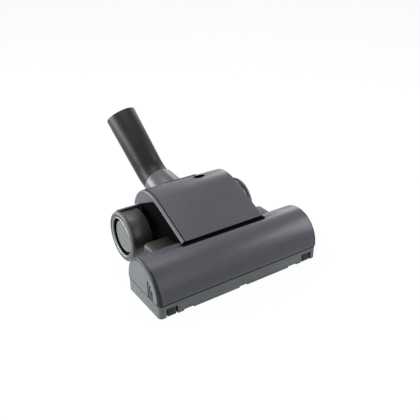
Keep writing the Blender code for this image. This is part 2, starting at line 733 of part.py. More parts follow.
def turbine_lid(material, body):
    """The sloped cover over the turbine: one moulding with cheeks, hinge straps and a grip hole."""
    lip_bottom = STRIP_TOP + SEAT_GAP
    flange = LID_THICKNESS + LID_FLANGE
    rear_inner = arc((CROWN_Y, CROWN_Z), CROWN_RADIUS - flange, LID_REAR_ANGLE, LID_REAR_ANGLE, 1)[0]
    lip_back = LID_FRONT_Y + LID_LIP
    outline = [LID_FRONT, *crown_arc(0, LID_REAR_ANGLE), rear_inner]
    outline.append((CHEEK_FRONT_Y, under_lid(flange, LID_TOUCH[0])))
    outline.append((LID_TOUCH[0] - flange, under_lid(flange, LID_TOUCH[0] - flange)))
    outline.append((lip_back, under_lid(flange, lip_back)))
    outline.append((lip_back, lip_bottom))
    outline.append((LID_FRONT_Y + LID_LIP * 0.7, lip_bottom))
    shape = prism_x(outline, -LID_HALF, LID_HALF)
    rim = []
    for edge in shape.edges:
        ends = [vert.co for vert in edge.verts]
        if abs(ends[0].x - ends[1].x) > SEAT_GAP:
            continue
        on_slope = all(abs(co.z - under_lid(0, co.y)) < SEAT_GAP for co in ends)
        on_crown = all(
            abs(math.hypot(co.y - CROWN_Y, co.z - CROWN_Z) - CROWN_RADIUS) < SEAT_GAP
            and co.y > LID_TOUCH[0] - SEAT_GAP
            for co in ends
        )
        if on_slope or on_crown:
            rim.append(edge)
    bmesh.ops.bevel(shape, geom=rim, offset=LID_SIDE_BEVEL, segments=3, profile=0.5, affect="EDGES")
    lid = add("turbine_lid", shape, material, body)
    inner_half = LID_HALF - LID_THICKNESS
    hollow = [(lip_back, HOUSING_BOTTOM), (lip_back, under_lid(LID_THICKNESS, lip_back))]
    hollow += crown_arc(LID_THICKNESS, HINGE_ANGLE)
    hollow += [(CROWN_Y + CROWN_RADIUS - LID_THICKNESS, HOUSING_BOTTOM)]
    cut(lid, prism_x(hollow, -inner_half, inner_half), body)
    for side in (-1, 1):
        low = min(side * KNUCKLE_INNER, side * KNUCKLE_OUTER)
        high = max(side * KNUCKLE_INNER, side * KNUCKLE_OUTER)
        strap = arc((CROWN_Y, CROWN_Z), CROWN_RADIUS - SEAT_GAP, LID_REAR_ANGLE * 1.2, HINGE_ANGLE, 4)
        strap_radius = CROWN_RADIUS - LID_THICKNESS + SEAT_GAP
        strap += arc((CROWN_Y, CROWN_Z), strap_radius, HINGE_ANGLE, LID_REAR_ANGLE * 1.2, 4)
        join(lid, prism_x(strap, low, high), body)
        knuckle = cylinder_x(low, high, HINGE_POINT.y, HINGE_POINT.z, KNUCKLE_RADIUS, SMALL_SEGMENTS)
        join(lid, knuckle, body)
    bore = HINGE_PIN_RADIUS + SEAT_GAP
    cut(lid, cylinder_x(-LID_HALF, LID_HALF, HINGE_POINT.y, HINGE_POINT.z, bore, SMALL_SEGMENTS), body)
    neck_gap = rounded_rectangle(
        -NECK_SLOT, NECK_SLOT, NECK_CUT_Y, NECK_CUT_Y + 2 * CROWN_RADIUS, NECK_CORNER, 2
    )
    cut(lid, prism_z(neck_gap, HOUSING_BOTTOM, CROWN_Z + 2 * CROWN_RADIUS), body)
    cut(lid, grip_hole(0, CROWN_Z + CROWN_RADIUS / 2), body)
    return lid


def grip_hole(margin, low):
    """The oval finger hole from above, which the lid and the housing under it share."""
    oval = []
    for step in range(BORE_SEGMENTS):
        angle = 2 * math.pi * step / BORE_SEGMENTS
        x = GRIP_HOLE_X + (GRIP_HOLE_LENGTH / 2 + margin) * math.cos(angle)
        y = GRIP_HOLE_Y + (GRIP_HOLE_WIDTH / 2 + margin) * math.sin(angle)
        oval.append((x, y))
    return prism_z(oval, low, CROWN_Z + 2 * CROWN_RADIUS)


def housing_outline():
    """The housing's side view: round the back of the hood, under the lid and down at the rear."""
    nose_y = LID_FRONT_Y + LID_LIP + SEAT_GAP * 2
    cover = LID_THICKNESS + SEAT_GAP
    nose_angle = math.acos((nose_y - HOOD_AXIS_Y) / HOUSING_ARC)
    points = [(HOUSING_FRONT, HOUSING_BOTTOM)]
    points += arc((HOOD_AXIS_Y, HOOD_AXIS_Z), HOUSING_ARC, 0, nose_angle, 16)
    points.append((nose_y, under_lid(cover, nose_y)))
    rear_angle = math.acos((HOUSING_REAR - CROWN_Y) / (CROWN_RADIUS - cover))
    points += crown_arc(cover, rear_angle)
    points.append((HOUSING_REAR, HOUSING_BOTTOM))
    return points


def neck_sweep():
    """The side view of the space that the neck tube sweeps as it tilts, open to the rear and the top."""
    low_angle = NECK_ELEVATION - NECK_LOW - math.radians(1)
    reach = 3 * NECK_LENGTH
    along = Vector((math.cos(low_angle), math.sin(low_angle)))
    across = Vector((math.sin(low_angle), -math.cos(low_angle)))
    start = Vector((TILT_Y, TILT_Z)) + NECK_SLOT * across
    front = NECK_CUT_Y
    top = CROWN_Z + 2 * CROWN_RADIUS
    return [tuple(start), tuple(start + reach * along), (TILT_Y + reach, top), (front, top), (front, TILT_Z)]


def turbine_housing(material, root):
    """The black inner body that carries the turbine, the neck and the wheels."""
    shape = prism_x(housing_outline(), -HOUSING_HALF, HOUSING_HALF)
    housing = add("turbine_housing", shape, material, root)
    above = CROWN_Z + 2 * CROWN_RADIUS
    chamber_front = TURBINE_Y - TURBINE_CHAMBER
    chamber = arc((TURBINE_Y, TURBINE_Z), TURBINE_CHAMBER, math.pi, 2 * math.pi, 20)
    chamber = [(chamber_front, above), *chamber, (TURBINE_Y + TURBINE_CHAMBER, above)]
    cut(housing, prism_x(chamber, -CHAMBER_HALF, CHAMBER_HALF), root)
    for side in (-1, 1):
        bay = box(
            min(side * BAY_INNER, side * BAY_OUTER), max(side * BAY_INNER, side * BAY_OUTER),
            chamber_front - PINION_RADIUS, TURBINE_Y + TURBINE_CHAMBER / 2, BRUSH_Z, above,
        )
        cut(housing, bay, root)
        lighten = box(
            min(side * (SOCKET_END + HOUSING_WALL), side * (HOUSING_HALF - AXLE_GRIP - HOUSING_WALL)),
            max(side * (SOCKET_END + HOUSING_WALL), side * (HOUSING_HALF - AXLE_GRIP - HOUSING_WALL)),
            TILT_Y - TILT_CHAMBER, HOUSING_REAR - HOUSING_WALL, HOUSING_BOTTOM - HOUSING_WALL, TILT_Z + TILT_CHAMBER / 2,
        )
        cut(housing, lighten, root)
        axle_in = side * (HOUSING_HALF - AXLE_GRIP)
        axle_out = side * (HOUSING_HALF + HOUSING_WALL)
        axle_bore = cylinder_x(
            min(axle_in, axle_out), max(axle_in, axle_out), WHEEL_Y, WHEEL_Z, AXLE_RADIUS + SEAT_GAP, SMALL_SEGMENTS
        )
        cut(housing, axle_bore, root)
        hinge_lugs(housing, side, root)
    belt_run = box(
        -BAY_OUTER, -BAY_INNER, HOOD_AXIS_Y + HOOD_RADIUS / 2, chamber_front, BRUSH_Z, TURBINE_Z + SEAT_GAP
    )
    cut(housing, belt_run, root)
    port = box(-PORT_HALF, PORT_HALF, HOOD_AXIS_Y + HOOD_RADIUS / 2, TURBINE_Y, PORT_LOW, PORT_HIGH)
    cut(housing, port, root)
    bearing_end = BEARING_X + BEARING_WIDTH / 2 + SEAT_GAP
    seat = cylinder_x(-bearing_end, bearing_end, TURBINE_Y, TURBINE_Z, BEARING_RADIUS + SEAT_GAP, SMALL_SEGMENTS)
    cut(housing, seat, root)
    shaft_end = BAY_OUTER - SEAT_GAP
    shaft_hole = cylinder_x(-shaft_end, 0, TURBINE_Y, TURBINE_Z, SHAFT_RADIUS + RUN_GAP, SMALL_SEGMENTS)
    cut(housing, shaft_hole, root)
    pocket = box(
        -BAY_OUTER, BAY_OUTER, HOUSING_FRONT + HOUSING_WALL, TILT_Y - TILT_CHAMBER - HOUSING_WALL,
        HOUSING_BOTTOM - HOUSING_WALL, BRUSH_Z - HOUSING_WALL,
    )
    cut(housing, pocket, root)
    socket = TRUNNION_RADIUS + SEAT_GAP
    cut(housing, stepped_cylinder(TILT_DRUM_HALF + RUN_GAP, TILT_CHAMBER, SOCKET_END, socket, 32), root)
    cut(housing, prism_x(neck_sweep(), -NECK_SLOT, NECK_SLOT), root)
    duct = box(-DUCT_HALF, DUCT_HALF, TURBINE_Y, TILT_Y, DUCT_LOW, DUCT_HIGH)
    cut(housing, duct, root)
    cut(housing, grip_hole(RUN_GAP, CROWN_Z + CROWN_RADIUS - LID_THICKNESS - GRIP_HOLE_DEPTH), root)
    return housing


def hinge_lugs(housing, side, root):
    """Two ears on the rear wall that hold one hinge pin, either side of a lid strap."""
    for inner in (KNUCKLE_INNER - SEAT_GAP - LUG_WIDTH, KNUCKLE_OUTER + SEAT_GAP):
        low = min(side * inner, side * (inner + LUG_WIDTH))
        root_y = HOUSING_REAR - HOUSING_WALL
        centre = (HINGE_POINT.y, HINGE_POINT.z)
        ear = arc(centre, KNUCKLE_RADIUS, -math.pi / 2, math.pi / 2, 8)
        ear += [(root_y, HINGE_POINT.z + KNUCKLE_RADIUS), (root_y, HINGE_POINT.z - 2 * KNUCKLE_RADIUS)]
        join(housing, prism_x(ear, low, low + LUG_WIDTH), root)
        hole = HINGE_PIN_RADIUS + SEAT_GAP
        cut(housing, cylinder_x(
            low - SEAT_GAP, low + LUG_WIDTH + SEAT_GAP, HINGE_POINT.y, HINGE_POINT.z, hole, SMALL_SEGMENTS
        ), root)


def hinge_pin(side, name, material, root):
    inner = side * (KNUCKLE_INNER - SEAT_GAP - LUG_WIDTH)
    outer = side * (KNUCKLE_OUTER + SEAT_GAP + LUG_WIDTH)
    low = min(inner, outer)
    high = max(inner, outer)
    pin = cylinder_x(low, high, HINGE_POINT.y, HINGE_POINT.z, HINGE_PIN_RADIUS, SMALL_SEGMENTS)
    return add(f"lid_hinge_pin_{name}", pin, material, root)


def neck_seal(material, root):
    """The lip on the housing that closes the gap in front of the neck."""
    rear_top = CROWN_Z + math.sqrt(CROWN_RADIUS**2 - (NECK_CUT_Y - CROWN_Y) ** 2)
    low = TILT_Z + TILT_CHAMBER + SEAL_LIFT
    half = NECK_SLOT - RUN_GAP
    outline = rounded_rectangle(-half, half, low, rear_top + RUN_GAP, HOOD_END_ROUND, 4)
    points = [(x, NECK_CUT_Y + SEAT_GAP, z) for x, z in outline]
    return add("neck_seal", prism(points, Vector((0, 0.0018, 0))), material, root)


def bottom_tray(material, root):
    low = HOUSING_BOTTOM - SEAT_GAP - TRAY_THICKNESS
    outline = rounded_rectangle(
        -HOUSING_HALF, HOUSING_HALF, HOUSING_FRONT, TILT_Y - TILT_CHAMBER - SEAT_GAP, SOLE_WALL, 3
    )
    tray = add("bottom_tray", prism_z(outline, low, low + TRAY_THICKNESS), material, root)
    for x, y in screw_places():
        hole_radius = SCREW_RADIUS / 2 + SEAT_GAP
        hole = cylinder((x, y, low - SEAT_GAP), (0, 0, 1), TRAY_THICKNESS * 2, hole_radius, SMALL_SEGMENTS)
        cut(tray, hole, root)
    return tray


def screw_places():
    x = HOUSING_HALF - SCREW_RADIUS
    y_front = HOUSING_FRONT + SCREW_RADIUS + SOLE_WALL
    y_back = TILT_Y - TILT_CHAMBER - SCREW_RADIUS - SOLE_WALL
    return [(-x, y_front), (x, y_front), (-x, y_back), (x, y_back)]


def tray_screw(index, place, material, root):
    """A pan-head screw under the tray, its shank through the tray's hole."""
    top = HOUSING_BOTTOM - SEAT_GAP
    head_top = top - TRAY_THICKNESS - SEAT_GAP
    head = 0.0014
    shank = SCREW_RADIUS / 2
    profile = [(0, 0), (0, SCREW_RADIUS * 0.75), (head * 0.5, SCREW_RADIUS), (head, SCREW_RADIUS)]
    profile += [(head, shank), (head + TRAY_THICKNESS, shank), (head + TRAY_THICKNESS, 0)]
    start = (place[0], place[1], head_top - head)
    return add(f"tray_screw_{index}", lathe(profile, start, (0, 0, 1), SMALL_SEGMENTS), material, root)


def shoulder(side, name, material, root):
    """The hollow shoulder beside the housing, behind the hood."""
    x_in = side * (HOUSING_HALF + SEAT_GAP)
    x_out = side * SHOULDER_HALF
    low = min(x_in, x_out)
    high = max(x_in, x_out)
    front = HOOD_AXIS_Y + HOOD_RADIUS / 2
    shape = box(low, high, front, SHOULDER_BACK, SHOULDER_LOW, SHOULDER_TOP)
    rim = []
    for edge in shape.edges:
        middle = (edge.verts[0].co + edge.verts[1].co) / 2
        outer = abs(middle.x - x_out) < SEAT_GAP
        rear = abs(middle.y - SHOULDER_BACK) < SEAT_GAP
        top = abs(middle.z - SHOULDER_TOP) < SEAT_GAP
        if (outer and rear) or (outer and top) or (rear and top):
            rim.append(edge)
    bmesh.ops.bevel(shape, geom=rim, offset=SHOULDER_ROUND, segments=4, profile=0.5, affect="EDGES")
    body = add(f"shoulder_{name}", shape, material, root)
    wall = SHOULDER_WALL
    hollow_in = x_in + side * wall
    hollow_out = x_out - side * wall
    hollow = box(
        min(hollow_in, hollow_out), max(hollow_in, hollow_out), HOUSING_FRONT + wall, SHOULDER_BACK - wall,
        SHOULDER_LOW - wall, SHOULDER_TOP - SHOULDER_ROUND,
    )
    cut(body, hollow, root)
    hood_space = prism_x(
        hood_outline(HOUSING_ARC, -SHOULDER_LOW), low - SEAT_GAP, high + SEAT_GAP
    )
    cut(body, hood_space, root)
    return body


def wheel_set(side, name, finishes, body, root):
    """One rear wheel: wide drum with a tyre, a bright trim ring and a hub cap, on a fixed axle."""
    outer = Vector((side * WHEEL_OUTER_X, WHEEL_Y, WHEEL_Z))
    inward = Vector((-side, 0, 0))
    seat_radius = WHEEL_RADIUS - TYRE_HEIGHT
    trim_outer = HUB_RECESS_RADIUS + TRIM_WIDTH
    web = HUB_RECESS_DEPTH
    inner_radius = DRUM_RADIUS - DRUM_WALL
    bore = AXLE_RADIUS + SEAT_GAP
    wheel_profile = [
        (web, bore), (web, HUB_RECESS_RADIUS), (TRIM_WIDTH * 2, HUB_RECESS_RADIUS),
        (TRIM_WIDTH * 2, trim_outer),
        (SEAT_GAP, trim_outer), (SEAT_GAP, seat_radius - SEAT_GAP),
        (TYRE_WIDTH + SEAT_GAP * 2, seat_radius - SEAT_GAP),
        (TYRE_WIDTH + SEAT_GAP * 2, DRUM_RADIUS), (WHEEL_WIDTH - DRUM_WALL / 2, DRUM_RADIUS),
        (WHEEL_WIDTH, DRUM_RADIUS - DRUM_WALL / 2), (WHEEL_WIDTH, inner_radius),
        (web + DRUM_WALL, inner_radius),
        (web + DRUM_WALL, HUB_BOSS_RADIUS), (WHEEL_WIDTH, HUB_BOSS_RADIUS), (WHEEL_WIDTH, bore),
    ]
    add(f"wheel_{name}", lathe(wheel_profile, outer, inward, WHEEL_SEGMENTS), finishes["drum"], body)
    tyre_profile = [
        (SEAT_GAP, seat_radius), (0, WHEEL_RADIUS - TYRE_ROUND),
        (TYRE_ROUND * 0.3, WHEEL_RADIUS - TYRE_ROUND * 0.3),
        (TYRE_ROUND, WHEEL_RADIUS), (TYRE_WIDTH - SEAT_GAP * 2, WHEEL_RADIUS),
        (TYRE_WIDTH, WHEEL_RADIUS - SEAT_GAP * 2), (TYRE_WIDTH, seat_radius),
    ]
    add(f"tyre_{name}", lathe(tyre_profile, outer, inward, WHEEL_SEGMENTS), finishes["tyre"], body)
    trim_profile = [
        (0, HUB_RECESS_RADIUS + SEAT_GAP), (0, trim_outer - SEAT_GAP),
        (TRIM_WIDTH * 2 - SEAT_GAP, trim_outer - SEAT_GAP),
        (TRIM_WIDTH * 2 - SEAT_GAP, HUB_RECESS_RADIUS + SEAT_GAP),
    ]
    add(f"hub_trim_{name}", lathe(trim_profile, outer, inward, WHEEL_SEGMENTS), finishes["trim"], body)
    dome = HUB_CAP_THICKNESS
    cap_profile = [
        (HUB_CAP_INSET, 0), (HUB_CAP_INSET + dome * 0.2, HUB_CAP_RADIUS * 0.7),
        (HUB_CAP_INSET + dome * 0.45, HUB_CAP_RADIUS * 0.94), (HUB_CAP_INSET + dome * 0.8, HUB_CAP_RADIUS),
        (web - SEAT_GAP, HUB_CAP_RADIUS), (web - SEAT_GAP, AXLE_RADIUS * 2),
        (HUB_CAP_INSET + dome, AXLE_RADIUS * 2), (HUB_CAP_INSET + dome, 0),
    ]
    add(f"hub_cap_{name}", lathe(cap_profile, outer, inward, WHEEL_SEGMENTS), finishes["cap"], body)
    axle_out = side * (WHEEL_OUTER_X - web + SEAT_GAP * 2)
    axle_in = side * (HOUSING_HALF - AXLE_GRIP + SEAT_GAP)
    axle = cylinder_x(min(axle_in, axle_out), max(axle_in, axle_out), WHEEL_Y, WHEEL_Z, AXLE_RADIUS, SMALL_SEGMENTS)
    add(f"axle_{name}", axle, finishes["steel"], root)


def wheel_guard(side, name, material, root):
    """The fixed arch behind each wheel drum, on a flange against the housing."""
    inner = WHEEL_RADIUS + GUARD_GAP
    outer = inner + GUARD_THICKNESS
    flange_inner = DRUM_RADIUS * 0.8
    x_in = HOUSING_HALF + SEAT_GAP
    x_flange = x_in + GUARD_THICKNESS
    start = math.pi / 2 - GUARD_START
    end = math.pi / 2 - GUARD_END
    steps = 14
    shape = bmesh.new()
    rings = []
    for step in range(steps + 1):
        angle = start + (end - start) * step / steps
        section = [
            (x_in, flange_inner), (x_in, outer), (GUARD_OUTER_X, outer), (GUARD_OUTER_X, inner), (x_flange, inner),
            (x_flange, flange_inner),
        ]
        ring = []
        for x, radius in section:
            y = WHEEL_Y + radius * math.cos(angle)
            z = WHEEL_Z + radius * math.sin(angle)
            ring.append(shape.verts.new((side * x, y, z)))
        rings.append(ring)
    stitch(shape, rings, False)
    shape.faces.new(rings[0])
    shape.faces.new(rings[-1])
    return add(f"wheel_guard_{name}", shape, material, root)


def neck_tube(material, body):
    """The tilting neck: a cross drum with trunnions and the tube that carries the pipe."""
    drum = stepped_cylinder(TILT_DRUM_HALF, TILT_DRUM_RADIUS, TRUNNION_END, TRUNNION_RADIUS, 32)
    neck = add("neck_tube", drum, material, body)
    length = NECK_LENGTH - SEAT_GAP
    profile = [(0, 0), (0, NECK_RADIUS)]
    profile += [(length * share, NECK_RADIUS + (NECK_BULGE - NECK_RADIUS) * swell) for share, swell in NECK_PROFILE]
    profile += [(length, NECK_RADIUS), (length, 0)]
    join(neck, lathe(profile, TILT_POINT, NECK_DIR, PIPE_SEGMENTS), body)
    bore_start = TILT_POINT - 2 * TILT_DRUM_RADIUS * NECK_DIR
    bore_length = 2 * TILT_DRUM_RADIUS + NECK_LENGTH * 2
    bore = cylinder(bore_start, NECK_DIR, bore_length, NECK_BORE, PIPE_SEGMENTS)
    cut(neck, bore, body)
    return neck


def swivel_seal(material, body):
    """The soft ring between the neck's bore and the pipe's spigot."""
    start = SWIVEL_POINT - (SPIGOT_LENGTH - SPIGOT_LIP_LENGTH - SEAT_GAP) * NECK_DIR
    profile = [
        (0, SPIGOT_RADIUS + SEAT_GAP), (0, NECK_BORE - SEAT_GAP), (SEAL_WIDTH, NECK_BORE - SEAT_GAP),
        (SEAL_WIDTH, SPIGOT_RADIUS + SEAT_GAP),
    ]
    return add("swivel_seal", lathe(profile, start, NECK_DIR, PIPE_SEGMENTS), material, body)


def swivel_pipe(material, body):
    """The bent pipe: a spigot in the neck, an elbow and a straight socket for the wand."""
    binormal = NECK_DIR.cross(PIPE_SIDE)
    centre = SWIVEL_POINT + ELBOW_RADIUS * PIPE_SIDE

    def straight(start, direction, side, along, radius):
        return start + along * direction, side, radius

    def bend(share, radius):
        angle = PIPE_BEND * share
        side = math.cos(angle) * PIPE_SIDE - math.sin(angle) * NECK_DIR
        return centre - ELBOW_RADIUS * side, side, radius

    mouth_side = math.cos(PIPE_BEND) * PIPE_SIDE - math.sin(PIPE_BEND) * NECK_DIR
    steps = 6
    lip = SPIGOT_RADIUS + SPIGOT_LIP
    outside = [(-SPIGOT_LENGTH, SPIGOT_BORE), (-SPIGOT_LENGTH, lip), (-SPIGOT_LENGTH + SPIGOT_LIP_LENGTH, lip)]
    outside += [(-SPIGOT_LENGTH + SPIGOT_LIP_LENGTH, SPIGOT_RADIUS), (SEAT_GAP, SPIGOT_RADIUS)]
    outside += [(SEAT_GAP, NECK_RADIUS)]
    rings = [straight(SWIVEL_POINT, NECK_DIR, PIPE_SIDE, along, radius) for along, radius in outside]
    rings += [bend((step + 0.5) / steps, NECK_RADIUS) for step in range(steps)]
    mouth = [(PIPE_LENGTH, PIPE_MOUTH_RADIUS), (PIPE_LENGTH, PIPE_MOUTH_BORE + PIPE_CHAMFER)]
    mouth += [(PIPE_LENGTH - PIPE_CHAMFER, PIPE_MOUTH_BORE), (PIPE_LENGTH - PIPE_SOCKET, PIPE_BORE)]
    mouth += [(PIPE_LENGTH - PIPE_SOCKET, PIPE_BORE - PIPE_CHAMFER)]
    rings += [straight(PIPE_CORNER, PIPE_DIR, mouth_side, along, radius) for along, radius in mouth]
    rings += [bend(1 - (step + 0.5) / steps, SPIGOT_BORE) for step in range(steps)]
    shape = bmesh.new()
    loops = []
    for middle, side, radius in rings:
        loop = []
        for step in range(PIPE_SEGMENTS):
            angle = 2 * math.pi * step / PIPE_SEGMENTS
            loop.append(shape.verts.new(middle + radius * (math.cos(angle) * side + math.sin(angle) * binormal)))
        loops.append(loop)
    stitch(shape, loops, True)
    return add("swivel_pipe", shape, material, body)


def main():
    clear_scene()
    shell = finish("shell_grey", (0.075, 0.077, 0.086), 0.42)
    base = finish("base_grey", (0.10, 0.12, 0.125), 0.48)
    black = finish("inner_black", (0.012, 0.012, 0.014), 0.5)
    glossy = finish("wheel_black", (0.03, 0.03, 0.032), 0.25)
    tyre = finish("tyre_grey", (0.05, 0.052, 0.054), 0.6)
    cap = finish("cap_grey", (0.28, 0.32, 0.325), 0.4)
    trim = finish("trim_silver", (0.55, 0.56, 0.58), 0.3, 0.6)
    steel = finish("steel", (0.55, 0.55, 0.56), 0.3, 1.0)
    rubber = finish("rubber_black", (0.01, 0.01, 0.011), 0.7)
    bristle = finish("bristle_black", (0.02, 0.02, 0.022), 0.6)
    blade = finish("turbine_white", (0.6, 0.6, 0.58), 0.4)
    brass = finish("bush_bronze", (0.45, 0.33, 0.18), 0.35, 1.0)
    pipe = finish("pipe_grey", (0.05, 0.051, 0.055), 0.35)

    root = axis_empty("brush_frame", (0, 0, 0))
    root[0].location = (0, -REACH / 2, 0)
    frame = root[0]
    brush = axis_empty("brush_axis", BRUSH_POINT, frame)
    turbine = axis_empty("turbine_axis", TURBINE_POINT, frame)
    lid = axis_empty("lid_axis", HINGE_POINT, frame)
    neck = axis_empty("neck_axis", TILT_POINT, frame)
    pipe_axis = axis_empty("swivel_axis", SWIVEL_POINT, neck[0], TILT_POINT)

    front_hood(shell, root)
    gap_strip(rubber, root)
    sole_frame(base, root)
    turbine_housing(black, root)
    neck_seal(rubber, root)
    bottom_tray(base, root)
    for index, place in enumerate(screw_places()):
        tray_screw(index + 1, place, steel, root)
    drive_belt(rubber, root)

    brush_core(black, brush)
    brush_rows(bristle, brush)
    flanged_pulley("brush_pulley", BELT_X, BRUSH_Y, BRUSH_Z, CORE_RADIUS + SEAT_GAP, PULLEY_RADIUS, 20, steel, brush)
    turbine_wheel(blade, turbine)
    turbine_shaft(steel, turbine)
    flanged_pulley(
        "turbine_pinion", BELT_X, TURBINE_Y, TURBINE_Z, SHAFT_RADIUS + SEAT_GAP, PINION_RADIUS, SMALL_SEGMENTS,
        brass,
        turbine,
    )
    turbine_lid(shell, lid)
    neck_tube(shell, neck)
    swivel_seal(rubber, neck)
    swivel_pipe(pipe, pipe_axis)

    wheel_finishes = {"drum": glossy, "tyre": tyre, "trim": trim, "cap": cap, "steel": steel}
    for side, name in ((-1, "left"), (1, "right")):
        wheel_place = (side * WHEEL_OUTER_X, WHEEL_Y, WHEEL_Z)
        wheel_set(side, name, wheel_finishes, axis_empty(f"wheel_axis_{name}", wheel_place, frame), root)
        wheel_guard(side, name, shell, root)
        shoulder(side, name, shell, root)
        hinge_pin(side, name, steel, root)
        turbine_bearing(side, name, brass, root)
        brush_bush(side, name, brass, root)
        roller_place = (side * ROLLER_X, ROLLER_Y, ROLLER_RADIUS)
        roller = axis_empty(f"roller_axis_{name}", roller_place, frame)
        front_roller(side, name, tyre, shell, steel, roller, root)


main()
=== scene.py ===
"""Looks for the air-driven turbo brush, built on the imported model.

Everything is in metres with +Z up. Places along Y are written from the front of the hood,
and at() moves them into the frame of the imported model.
"""

import json
import math
import random

import bmesh
import bpy
from mathutils import Matrix, Vector


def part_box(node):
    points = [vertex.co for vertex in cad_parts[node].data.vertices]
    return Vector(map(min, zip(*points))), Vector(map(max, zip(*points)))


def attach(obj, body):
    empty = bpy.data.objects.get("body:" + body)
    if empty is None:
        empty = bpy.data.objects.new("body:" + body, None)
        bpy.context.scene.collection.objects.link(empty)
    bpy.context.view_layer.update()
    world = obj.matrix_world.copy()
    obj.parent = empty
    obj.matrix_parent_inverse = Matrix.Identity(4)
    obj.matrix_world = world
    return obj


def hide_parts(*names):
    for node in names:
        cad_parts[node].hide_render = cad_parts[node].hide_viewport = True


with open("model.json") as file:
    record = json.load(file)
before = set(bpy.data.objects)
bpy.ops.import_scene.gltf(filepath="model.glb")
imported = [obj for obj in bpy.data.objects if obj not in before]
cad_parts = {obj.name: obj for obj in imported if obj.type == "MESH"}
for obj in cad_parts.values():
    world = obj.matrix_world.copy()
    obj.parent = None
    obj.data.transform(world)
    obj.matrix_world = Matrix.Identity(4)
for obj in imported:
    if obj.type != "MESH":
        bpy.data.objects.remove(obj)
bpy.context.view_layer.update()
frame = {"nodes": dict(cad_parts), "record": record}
NODES = frame["nodes"]
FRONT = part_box("front_hood")[0].y

# Driving sizes of the solids that the pieces follow
SEAT_GAP = 0.0003
HALF = 0.125
HOOD_RADIUS = 0.040
HOOD_TOP = 0.0625
HOOD_WALL = 0.0024
HOOD_END_ROUND = 0.0030
HOOD_AXIS = (HOOD_RADIUS, HOOD_TOP - HOOD_RADIUS)
HOOD_BOTTOM = 0.0187
SEAM_OPEN = 0.0010
SKIRT_INSET = 0.0013
SLOT_WIDTH = 0.0026
SLOT_YS = (0.0165, 0.0210, 0.0255)
SLOT_TOPS = (0.0330, 0.0391, 0.0430)
STRIP_HALF = 0.066
STRIP_FRONT = 0.0408
STRIP_TOP = 0.0635
LID_HALF = 0.0642
LID_WALL = 0.0024
LID_FRONT = (0.0447, 0.0665)
LID_LIP = 0.0030
LID_ROUND = 0.0030
LID_FRONT_LEAN = 0.35
LID_BEND_Y = 0.117
CROWN = (0.131, 0.053)
CROWN_RADIUS = 0.047
LID_REAR = math.radians(16)
HINGE = math.radians(8)
KNUCKLE_RADIUS = 0.0032
HINGE_BORE = 0.0018
KNUCKLES = (0.0335, 0.0480)
GRIP_HOLE = (0.0208, 0.1372, 0.0090, 0.0062)
NECK_CUT_Y = 0.152
NECK_SLOT = 0.0281
NECK_SLOT_ROUND = 0.0012
BRUSH = (0.037, 0.0246)
CORE_RADIUS = 0.0125
CORE_HALF = 0.1085
TIP_RADIUS = 0.0242
WHEEL_RADIUS = 0.0356
WHEEL = (0.1472, 0.0356)
WHEEL_OUTER = 0.1004
WHEEL_WIDTH = 0.0308
TILT = (0.150, 0.0484)
ELEVATION = math.radians(13.8)
NECK_LENGTH = 0.0713
NECK_RADIUS = 0.0220
NECK_BORE = 0.0200
NECK_BULGE = 0.0269
NECK_PROFILE = ((0.27, 0.0), (0.41, 1.0), (0.63, 1.0), (0.84, 0.69), (0.94, 0.54), (0.98, 0.32))
PIPE_LEAN = math.radians(13.8)
PIPE_BEND = math.radians(36.8)
PIPE_LENGTH = 0.1067
ELBOW_RADIUS = 0.0500
MOUTH_RADIUS = 0.0234
PIPE_BORE = 0.0176
MOUTH_BORE = 0.0196
SOCKET = 0.045

# Openings in the ends and the rear of the hood, the channel for the strip, and how far cuts run past
PAST = 0.003
SLOT_PAST = 0.002
HOOD_BACK = (0.060, 2 * HOOD_RADIUS + PAST)
SLOT_DEPTH = 0.005
BELT_WINDOW = (-0.0585, -0.0465)
BELT_WINDOW_TOP = 0.0533
PORT_HALF = 0.016
PORT_HEIGHTS = (0.0335, 0.0475)
CHANNEL_DEPTH = 0.0012
CHANNEL_ROUND = 0.0032

# Growth of the hood's end edge towards the front, and the share of the half turn where it starts
EDGE_GROWTH = 0.75
GROWTH_START = 0.4
GROWTH_POWER = 1.5

# Fineness of round forms, and heights that lie below and above all of the lid
HOOD_STEPS = 96
TURN_STEPS = 96
LID_STEPS = 72
BELOW_LID = 0.009
ABOVE_LID = 0.15

# Distances that tell a face's centre from the faces beside it
NEAR = 0.0003
ON_FACE = 0.00003
UNDER_SKIN = 0.00012

# The groove beside the lid's left edge, and how far from its middle it is painted near-black as shade
GROOVE_HALF = 0.0007
GROOVE_SHADE_HALF = 0.00062
GROOVE_FLOOR_HALF = 0.0004
GROOVE_DEPTH = 0.0007
GROOVE_PLACE = LID_HALF - LID_ROUND - 0.0011


def at(x, y, z):
    return Vector((x, y + FRONT, z))


NECK_DIR = Vector((0, math.cos(ELEVATION), math.sin(ELEVATION)))
NECK_UP = Vector((0, -math.sin(ELEVATION), math.cos(ELEVATION)))
PIPE_SIDE = math.cos(PIPE_LEAN) * NECK_UP - math.sin(PIPE_LEAN) * Vector((1, 0, 0))
PIPE_DIR = math.cos(PIPE_BEND) * NECK_DIR + math.sin(PIPE_BEND) * PIPE_SIDE
TILT_POINT = at(0, *TILT)
SWIVEL_POINT = TILT_POINT + NECK_LENGTH * NECK_DIR


# Materials
CLOUD_SCALE = 38
WEAR_SCALE = 210
NOISE_RANGE = (0.3, 0.7)


def grey(level, tint=(1, 1, 1)):
    return tuple(level * share for share in tint)


